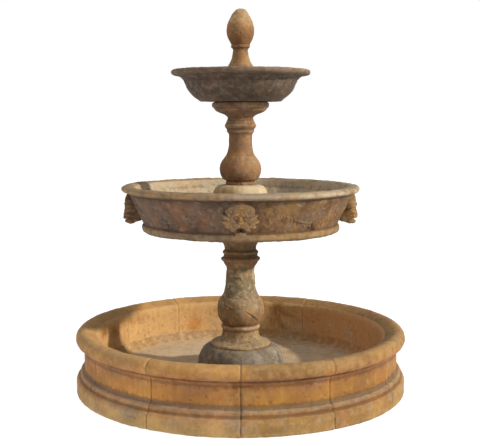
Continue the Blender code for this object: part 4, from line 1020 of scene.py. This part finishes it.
def lion_field(seed):
    """A lion's head on a block: mane, ears, brow, eyes, nose, muzzle and an open mouth."""

    def field(p):
        found = ellipsoid(p, (0, 0.896, 0.512), (0.060, 0.070, 0.050))
        p = p - np.array([0, 0, 0.008])
        for k in range(15):
            a = math.radians(-62 + 304 * k / 14)
            reach = 0.053 + 0.006 * math.sin(5 * k + seed)
            centre = (reach * math.cos(a), 0.899 + 0.90 * reach * math.sin(a),
                      0.524 + 0.016 * (1 - math.sin(a)) / 2)
            lock = ellipsoid(p, centre, (0.026, 0.0115, 0.030), a + 0.5 * math.cos(a))
            found = merged(found, lock, 0.011)
        for k in range(11):
            a = math.radians(-30 + 240 * k / 10)
            centre = (0.044 * math.cos(a), 0.902 + 0.040 * math.sin(a), 0.537)
            found = merged(found, ellipsoid(p, centre, (0.017, 0.0080, 0.019), a - 0.4 * math.cos(a)), 0.009)
        found = merged(found, ellipsoid(p, (0, 0.930, 0.521), (0.062, 0.048, 0.038)), 0.012)
        for side in (-1, 1):
            found = merged(found, ellipsoid(p, (side * 0.030, 0.884, 0.535), (0.020, 0.026, 0.020)), 0.010)
            found = merged(found, ellipsoid(p, (side * 0.040, 0.938, 0.546), (0.012, 0.012, 0.011)), 0.010)
            found = hollowed(found, ellipsoid(p, (side * 0.041, 0.938, 0.562), (0.006, 0.006, 0.006)), 0.006)
        found = merged(found, ellipsoid(p, (0, 0.925, 0.540), (0.032, 0.022, 0.022)), 0.010)
        found = merged(found, ellipsoid(p, (0, 0.900, 0.545), (0.0105, 0.030, 0.020)), 0.006)
        for side in (-1, 1):
            found = hollowed(found, ellipsoid(p, (side * 0.0195, 0.903, 0.5695), (0.012, 0.008, 0.012)),
                             0.008)
            found = merged(found, ellipsoid(p, (side * 0.019, 0.917, 0.552), (0.016, 0.0065, 0.0135),
                                            side * -0.35), 0.008)
            found = merged(found, ellipsoid(p, (side * 0.0185, 0.902, 0.5515), (0.0072, 0.0055, 0.0070)),
                           0.005)
            found = merged(found, ellipsoid(p, (side * 0.0145, 0.869, 0.549), (0.0175, 0.0125, 0.0185)),
                           0.008)
        found = merged(found, ellipsoid(p, (0, 0.882, 0.556), (0.0135, 0.0085, 0.0115)), 0.004)
        found = merged(found, ellipsoid(p, (0, 0.829, 0.536), (0.022, 0.014, 0.027)), 0.009)
        found = hollowed(found, ellipsoid(p, (0, 0.848, 0.560), (0.0165, 0.0080, 0.026)), 0.005)
        for side in (-1, 1):
            found = hollowed(found, ellipsoid(p, (side * 0.037, 0.836, 0.558), (0.010, 0.012, 0.014),
                                              side * 0.5), 0.008)
        found = np.maximum(found, 0.815 - p[..., 1])
        found = np.maximum(found, p[..., 1] - 0.974)
        found = np.maximum(found, p[..., 2] - 0.5685)
        found = np.maximum(found, bowl_wall_radius(p[..., 1]) - 0.025 - p[..., 2])
        worn_away = 0.0022 * rough(p, 0.030, 3, seed + 4)
        return found + worn_away + 0.0009 * rough(p, 0.012, 3, seed) + 0.0016 * pits(p, 0.009, 0.4, seed + 9)

    return field


def masks():
    cell = 0.0021
    for number, (side, angle) in enumerate(MASK_SIDES.items()):
        low, high = (-0.096, 0.806, 0.455), (0.096, 0.984, 0.590)
        head = surface(f"lion_head_{side}", lion_field(500 + 20 * number), low, high, cell, on_wall(angle))
        head.data.materials.append(LOOKS["mask"])
        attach(head, "fountain")


def festoon_field(seed):
    """A worn garland of fruit and leaves that hangs between two masks, with a ribbon at each end."""
    half = math.radians(30) * 0.53

    def field(p):
        wall = bowl_wall_radius(p[..., 1])
        found = np.full(p.shape[:-1], 1.0)
        count = 27
        for k in range(count):
            t = 2 * k / (count - 1) - 1
            u = t * half
            z = 0.858 + 0.078 * abs(t) ** 1.7
            thick = 0.0145 - 0.006 * abs(t)
            jitter = math.sin(12.9 * k + seed)
            centre = (u, z + 0.004 * jitter, float(bowl_wall_radius(z)) - 0.0052)
            found = merged(found, ellipsoid(p, centre, (thick, 0.6 * thick, 0.0075 + 0.003 * (1 - abs(t))),
                                            0.9 * jitter), 0.009)
            if k % 2:
                leaf = (u, z - 0.010 - 0.005 * (1 - abs(t)), float(bowl_wall_radius(z - 0.012)) - 0.0045)
                found = merged(found, ellipsoid(p, leaf, (0.006, 0.014, 0.0055), -0.5 * t + 0.4 * jitter),
                               0.008)
        for k in range(9):
            a = TAU * k / 9
            spot = (0.020 * math.cos(a) * (k > 0), 0.853 + 0.014 * math.sin(a) * (k > 0))
            centre = (*spot, float(bowl_wall_radius(spot[1])) - 0.001)
            found = merged(found, ellipsoid(p, centre, (0.0125, 0.0110, 0.0115)), 0.005)
        for side in (-1, 1):
            for k in range(14):
                t = k / 13
                u = side * (half + 0.010 + 0.012 * math.sin(5.5 * t))
                z = 0.938 - 0.075 * t
                centre = (u, z, float(bowl_wall_radius(z)) - 0.0035)
                found = merged(found, ellipsoid(p, centre, (0.0055, 0.0065, 0.006)), 0.003)
        found = np.maximum(found, wall - 0.012 - p[..., 2])
        return found + 0.0010 * rough(p, 0.012, 3,
                                      seed) + 0.0012 * ease(rough(p, 0.04, 3, seed + 3), 0.2, 1.0)

    return field


def festoons():
    for number, angle in enumerate((-45, 45, 135, 225)):
        low, high = (-0.315, 0.822, 0.455), (0.315, 0.962, 0.562)
        swag = surface(f"festoon_{number + 1}", festoon_field(600 + 15 * number), low, high, 0.0030,
                       on_wall(angle))
        swag.data.materials.append(LOOKS["mid_bowl"])
        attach(swag, "fountain")


# Upper stage

def seat():
    outline = arc((0.092, 0.955), (0.0425, SEAT_HIGH - 0.955), 90, 0, 20)
    outline += [*arc((0.092, 0.955), (0.0425, 0.0480), -10, -52, 8), (0.116, SEAT_LOW), (0.026, SEAT_LOW)]
    base = weathering(710, 0.0016, 0.0011)
    piece = turned("seat_cushion", [*outline, (0.026, SEAT_HIGH)], 150, 0.005, 0.002, base)
    show(piece, LOOKS["seat"], "fountain", "cream_stone", "column_seat")


def upper_column():
    capital = [(0.134, UPPER_HIGH), (0.1395, 1.406), (0.140, 1.394), (0.136, 1.386), (0.129, 1.383)]
    neck = smooth([(0.127, 1.376), (0.112, 1.365), (0.076, 1.351), (0.061, 1.338)])
    rings = [(0.063, 1.324), (0.070, 1.313), *arc((0.0635, 1.297), (0.0125, 0.013), 70, -60, 12)]
    rings += [(0.0665, 1.279), (0.0665, 1.267), (0.0605, 1.262)]
    shaft = smooth([(0.0570, 1.252), (0.0590, 1.200), (0.0700, 1.156)])
    bulb = arc((0.052, 1.086), (0.0505, 0.064), 48, -50, 20)
    foot = [(0.0735, 1.032), (0.0670, 1.0270), (0.0725, 1.0210), (0.0725, UPPER_LOW)]
    outline = [*capital, *neck, *rings, *shaft, *bulb, *foot, (0.022, UPPER_LOW), (0.022, UPPER_HIGH)]
    base = weathering(810, 0.0012, 0.0010, 0.0013)

    def shape(grid, angles):
        shaft_zone = ease(grid[..., 2], 1.15, 1.17) * ease(grid[..., 2], 1.25, 1.24)
        nick = ease(rough(grid, 0.03, 3, 820), 0.9, 1.2) * 0.003
        return base(grid, angles) - nick - 0.0008 * shaft_zone

    def pitch(p):
        return np.where(p[:, 0] > 0.04, 0.0036, 0.02)

    piece = turned("baluster_upper", outline, 168, pitch, 0.0015, shape)
    show(piece, LOOKS["upper_column"], "fountain", "brown_stone", "upper_column")


def top_bowl():
    lip = arc((0.3225, TOP_HIGH - 0.0135), (TOP_RIM_RADIUS - 0.3225, 0.0135), 180, -90, 20)
    side = smooth([(0.298, 1.5370), (0.276, 1.5170), (0.259, 1.4760), (0.236, 1.4460), (0.2095, 1.4240)])
    base_line = [(0.1980, TOP_LOW), (0.0265, TOP_LOW)]
    boss = [(0.0265, FINIAL_LOW - 0.0003), (0.088, FINIAL_LOW - 0.0003), (0.098, 1.490), (0.108, 1.468),
            (0.130, 1.457)]
    inside = smooth([(0.185, 1.457), (0.225, 1.480), (0.247, 1.510), (0.272, 1.533), (0.297, 1.5450)])
    base = weathering(910, 0.0015, 0.0011, 0.0013)

    def shape(grid, angles):
        radius, height = np.hypot(grid[..., 0], grid[..., 1]), grid[..., 2]
        outer = ease(radius, 0.19, 0.2) * ease(height, 1.545, 1.535)
        moulding = np.exp(-(((height - 1.506) / 0.004) ** 2)) * 0.0018 * outer * ease(radius, 0.262, 0.268)
        return base(grid, angles) + moulding

    def pitch(p):
        outer = p[:, 0] - 0.2 > (p[:, 1] - 1.42) * 0.55
        return np.where(outer & (p[:, 1] > 1.418), 0.0042, 0.009)

    piece = turned("bowl_top", [*lip, *side, *base_line, *boss, *inside], 330, pitch, 0.0016, shape)
    show(piece, LOOKS["top_bowl"], "fountain", "dark_stone", "top_bowl")


def finial():
    egg = smooth([(0.0200, 1.8555), (0.0390, 1.8350), (0.0510, 1.8110), (0.0610, 1.7880), (0.0670, 1.7570),
                  (0.0640, 1.7300), (0.0550, 1.7070), (0.0445, 1.6890)])
    collar = [(0.0465, 1.6835), (0.0465, 1.6750), (0.0385, 1.6690)]
    foot = smooth([(0.0360, 1.6600), (0.0430, 1.6250), (0.0530, 1.6020), (0.0610, 1.5850), (0.0680, 1.5600)])
    block = [(0.0740, 1.5560), (0.0740, FINIAL_LOW)]
    bore = [(0.0138, FINIAL_LOW), (0.0138, 1.8050), (0.0098, 1.8050), (0.0098, FINIAL_HIGH)]
    outline = [(0.0140, FINIAL_HIGH), *egg, *collar, *foot, *block, *bore]
    base = weathering(1010, 0.0010, 0.0013, 0.0022)

    def shape(grid, angles):
        """Rows of worn scales over the egg."""
        radius, height = np.hypot(grid[..., 0], grid[..., 1]), grid[..., 2]
        egg = ease(height, 1.690, 1.705) * ease(radius, 0.012, 0.022)
        row = (height - 1.69) / 0.0165
        turn = angles / TAU * 13
        one = np.abs(((turn + 0.5 * row) % 1) - 0.5)
        two = np.abs(((turn - 0.5 * row) % 1) - 0.5)
        scale = 1 - 2 * np.maximum(one, two)
        worn_away = 0.35 + 0.65 * ease(rough(grid, 0.05, 3, 1030), -0.5, 0.7)
        return base(grid, angles) + egg * worn_away * (0.0011 * ease(scale, 0.0, 0.75) - 0.0008)

    def pitch(p):
        return np.where(p[:, 0] > 0.0145, 0.0027, 0.012)

    piece = turned("finial_egg", outline, 150, pitch, 0.0012, shape)
    show(piece, LOOKS["finial"], "finial", "finial_stone", "finial")


# Fittings

def tube_piece(name, node, outer, inner, low, high, look, body, slot, move=None):
    """A tube with rounded ends, turned about Z and then moved."""
    outline = [(outer, high), (outer, low), (inner, low), (inner, high)]
    piece = turned(name, outline, 64, 0.0014, 0.0003, lambda g, a: 0.00012 * rough(g, 0.02, 2, 3))
    if move is not None:
        piece.data.transform(move)
    show(piece, look, body, slot, node)


def fittings():
    """The copper spouts in the lions' mouths and the nozzle in the finial."""
    for side, angle in MASK_SIDES.items():
        node = f"spout_tube_{side}"
        middle = (low_of(node) + high_of(node)) / 2
        move = Matrix.Translation(middle) @ Matrix.Rotation(math.radians(angle), 4, "Z")
        move = move @ Matrix.Rotation(math.pi / 2 + SPOUT_TILT, 4, "Y")
        tube_piece(f"copper_spout_{side}", node, 0.0074, 0.0060, -SPOUT_HALF, SPOUT_HALF, LOOKS["copper"],
                   "fountain", "copper", move)
    low, high = low_of("finial_nozzle").z, high_of("finial_nozzle").z
    tube_piece("nozzle_ring", "finial_nozzle", 0.0095, 0.0065, low, high, LOOKS["brass"], "finial", "brass")


def drain():
    """The flanged fitting, and the rubber plug with its pull ring."""
    top = high_of("drain_fitting").z
    at = Matrix.Translation((DRAIN.x, DRAIN.y, 0))
    outline = [(0.0300, top), (0.0320, top - 0.0012), (0.0320, top - 0.003), (0.0210, top - 0.003),
               (0.0210, 0.032)]
    outline += [(0.0165, 0.032), (0.0165, 0.067), (0.0185, top)]
    fitting = turned("drain_flange", outline, 72, 0.0015, 0.0004)
    fitting.data.transform(at)
    show(fitting, LOOKS["brass"], "fountain", "brass", "drain_fitting")
    lid = top + 0.0004
    plug = [(0, lid + 0.006), (0.017, lid + 0.0055), (0.0205, lid + 0.0035), (0.022, lid + 0.0004),
            (0.0174, lid + 0.0003)]
    plug += [(0.0158, low_of("drain_plug").z), (0, low_of("drain_plug").z)]
    stopper = turned("plug_body", plug, 64, 0.0018, 0.0006, closed=False)
    stopper.data.transform(at)
    bpy.ops.mesh.primitive_torus_add(major_radius=0.0085, minor_radius=0.0017, major_segments=40,
                                     minor_segments=14)
    ring = bpy.context.object
    centre = Matrix.Translation((DRAIN.x, DRAIN.y, lid + 0.0135))
    ring.data.transform(centre @ Matrix.Rotation(math.pi / 2, 4, "X"))
    ring.data.shade_smooth()
    joined = join("rubber_plug", [stopper, ring])
    show(joined, LOOKS["rubber"], "drain_plug", "black_rubber", "drain_plug")


def kept_nodes():
    """The CAD solids whose shape is right get rounded edges and their material."""
    looks = {
        "copper": ("mid_riser", "top_riser"),
        "steel": ("hose_clamp",),
        "rubber": ("mid_bowl_seal", "top_bowl_seal", "mid_bowl_stopper", "top_bowl_stopper", "volute_seal",
                   "cable_gland", "drain_gasket", "pump_foot_1", "pump_foot_2", "pump_foot_3",
                   "pump_foot_4"),
        "hose": ("lower_hose", "upper_hose"),
        "pump": ("pump_body", "pump_volute", "intake_strainer", "hose_barb"),
        "dial": ("flow_dial", "impeller"),
        "ceramic": ("impeller_shaft",),
        "shim": ("levelling_shim_1", "levelling_shim_2", "levelling_shim_3"),
    }
    for look, names in looks.items():
        for name in names:
            obj = NODES[name]
            for slot in obj.material_slots:
                slot.material = LOOKS[look]
            soft = obj.modifiers.new("Soft edges", "BEVEL")
            soft.width = 0.0004
            soft.segments = 2
            soft.limit_method = "ANGLE"
            soft.angle_limit = math.radians(40)


# Studio

def sun(name, energy, width, colour, turn, rise):
    """A distant light that comes from turn degrees round Z and rise degrees above the floor."""
    light = bpy.data.lights.new(name, "SUN")
    light.energy, light.angle, light.color = energy, math.radians(width), colour
    lamp = bpy.data.objects.new(name, light)
    bpy.context.scene.collection.objects.link(lamp)
    turn, rise = math.radians(turn), math.radians(rise)
    towards = Vector((math.cos(turn) * math.cos(rise), math.sin(turn) * math.cos(rise), math.sin(rise)))
    lamp.rotation_euler = towards.to_track_quat("Z", "Y").to_euler()


def studio():
    """A pale floor, a soft sky, a warm low key from the right, a weak fill from the left, and the camera."""
    bpy.ops.mesh.primitive_plane_add(size=160)
    ground = bpy.context.object
    ground.name = "studio_floor"
    ground.location.z = -0.0004
    paint = Shader("studio_paper")
    paint.finish(base_color=(0.2, 0.2, 0.2), roughness=0.9, emission_color=(1.0, 1.0, 1.0),
                 emission_strength=0.92)
    ground.data.materials.append(paint.material)

    world = bpy.data.worlds.new("studio_sky")
    bpy.context.scene.world = world
    world.use_nodes = True
    nodes, links = world.node_tree.nodes, world.node_tree.links
    background = nodes["Background"]
    seen = nodes.new("ShaderNodeBackground")
    seen.inputs["Color"].default_value = (1, 1, 1, 1)
    background.inputs["Color"].default_value = (0.93, 0.96, 1.0, 1)
    background.inputs["Strength"].default_value = 0.50
    path, mix = nodes.new("ShaderNodeLightPath"), nodes.new("ShaderNodeMixShader")
    links.new(path.outputs["Is Camera Ray"], mix.inputs[0])
    links.new(background.outputs[0], mix.inputs[1])
    links.new(seen.outputs[0], mix.inputs[2])
    links.new(mix.outputs[0], nodes["World Output"].inputs["Surface"])

    sun("key_sun", 3.6, 2.5, (1.0, 0.93, 0.82), -18, 25)
    sun("fill_sun", 0.55, 40, (0.97, 0.97, 1.0), -115, 25)

    lens = bpy.data.cameras.new("camera")
    lens.lens = 70.2
    lens.sensor_width = 36.0
    camera = bpy.data.objects.new("camera", lens)
    bpy.context.scene.collection.objects.link(camera)
    camera.location = (-0.0025, -4.6047, 1.3358)
    camera.rotation_euler = (math.radians(90 - 6.411), 0.0, 0.0)
    bpy.context.scene.camera = camera
    bpy.context.scene.view_settings.view_transform = "Standard"


make_looks()
pool_walls()
mortar()
floor_slab()
plinth()
lower_column()
mid_bowl()
masks()
festoons()
seat()
upper_column()
top_bowl()
finial()
fittings()
drain()
kept_nodes()
studio()
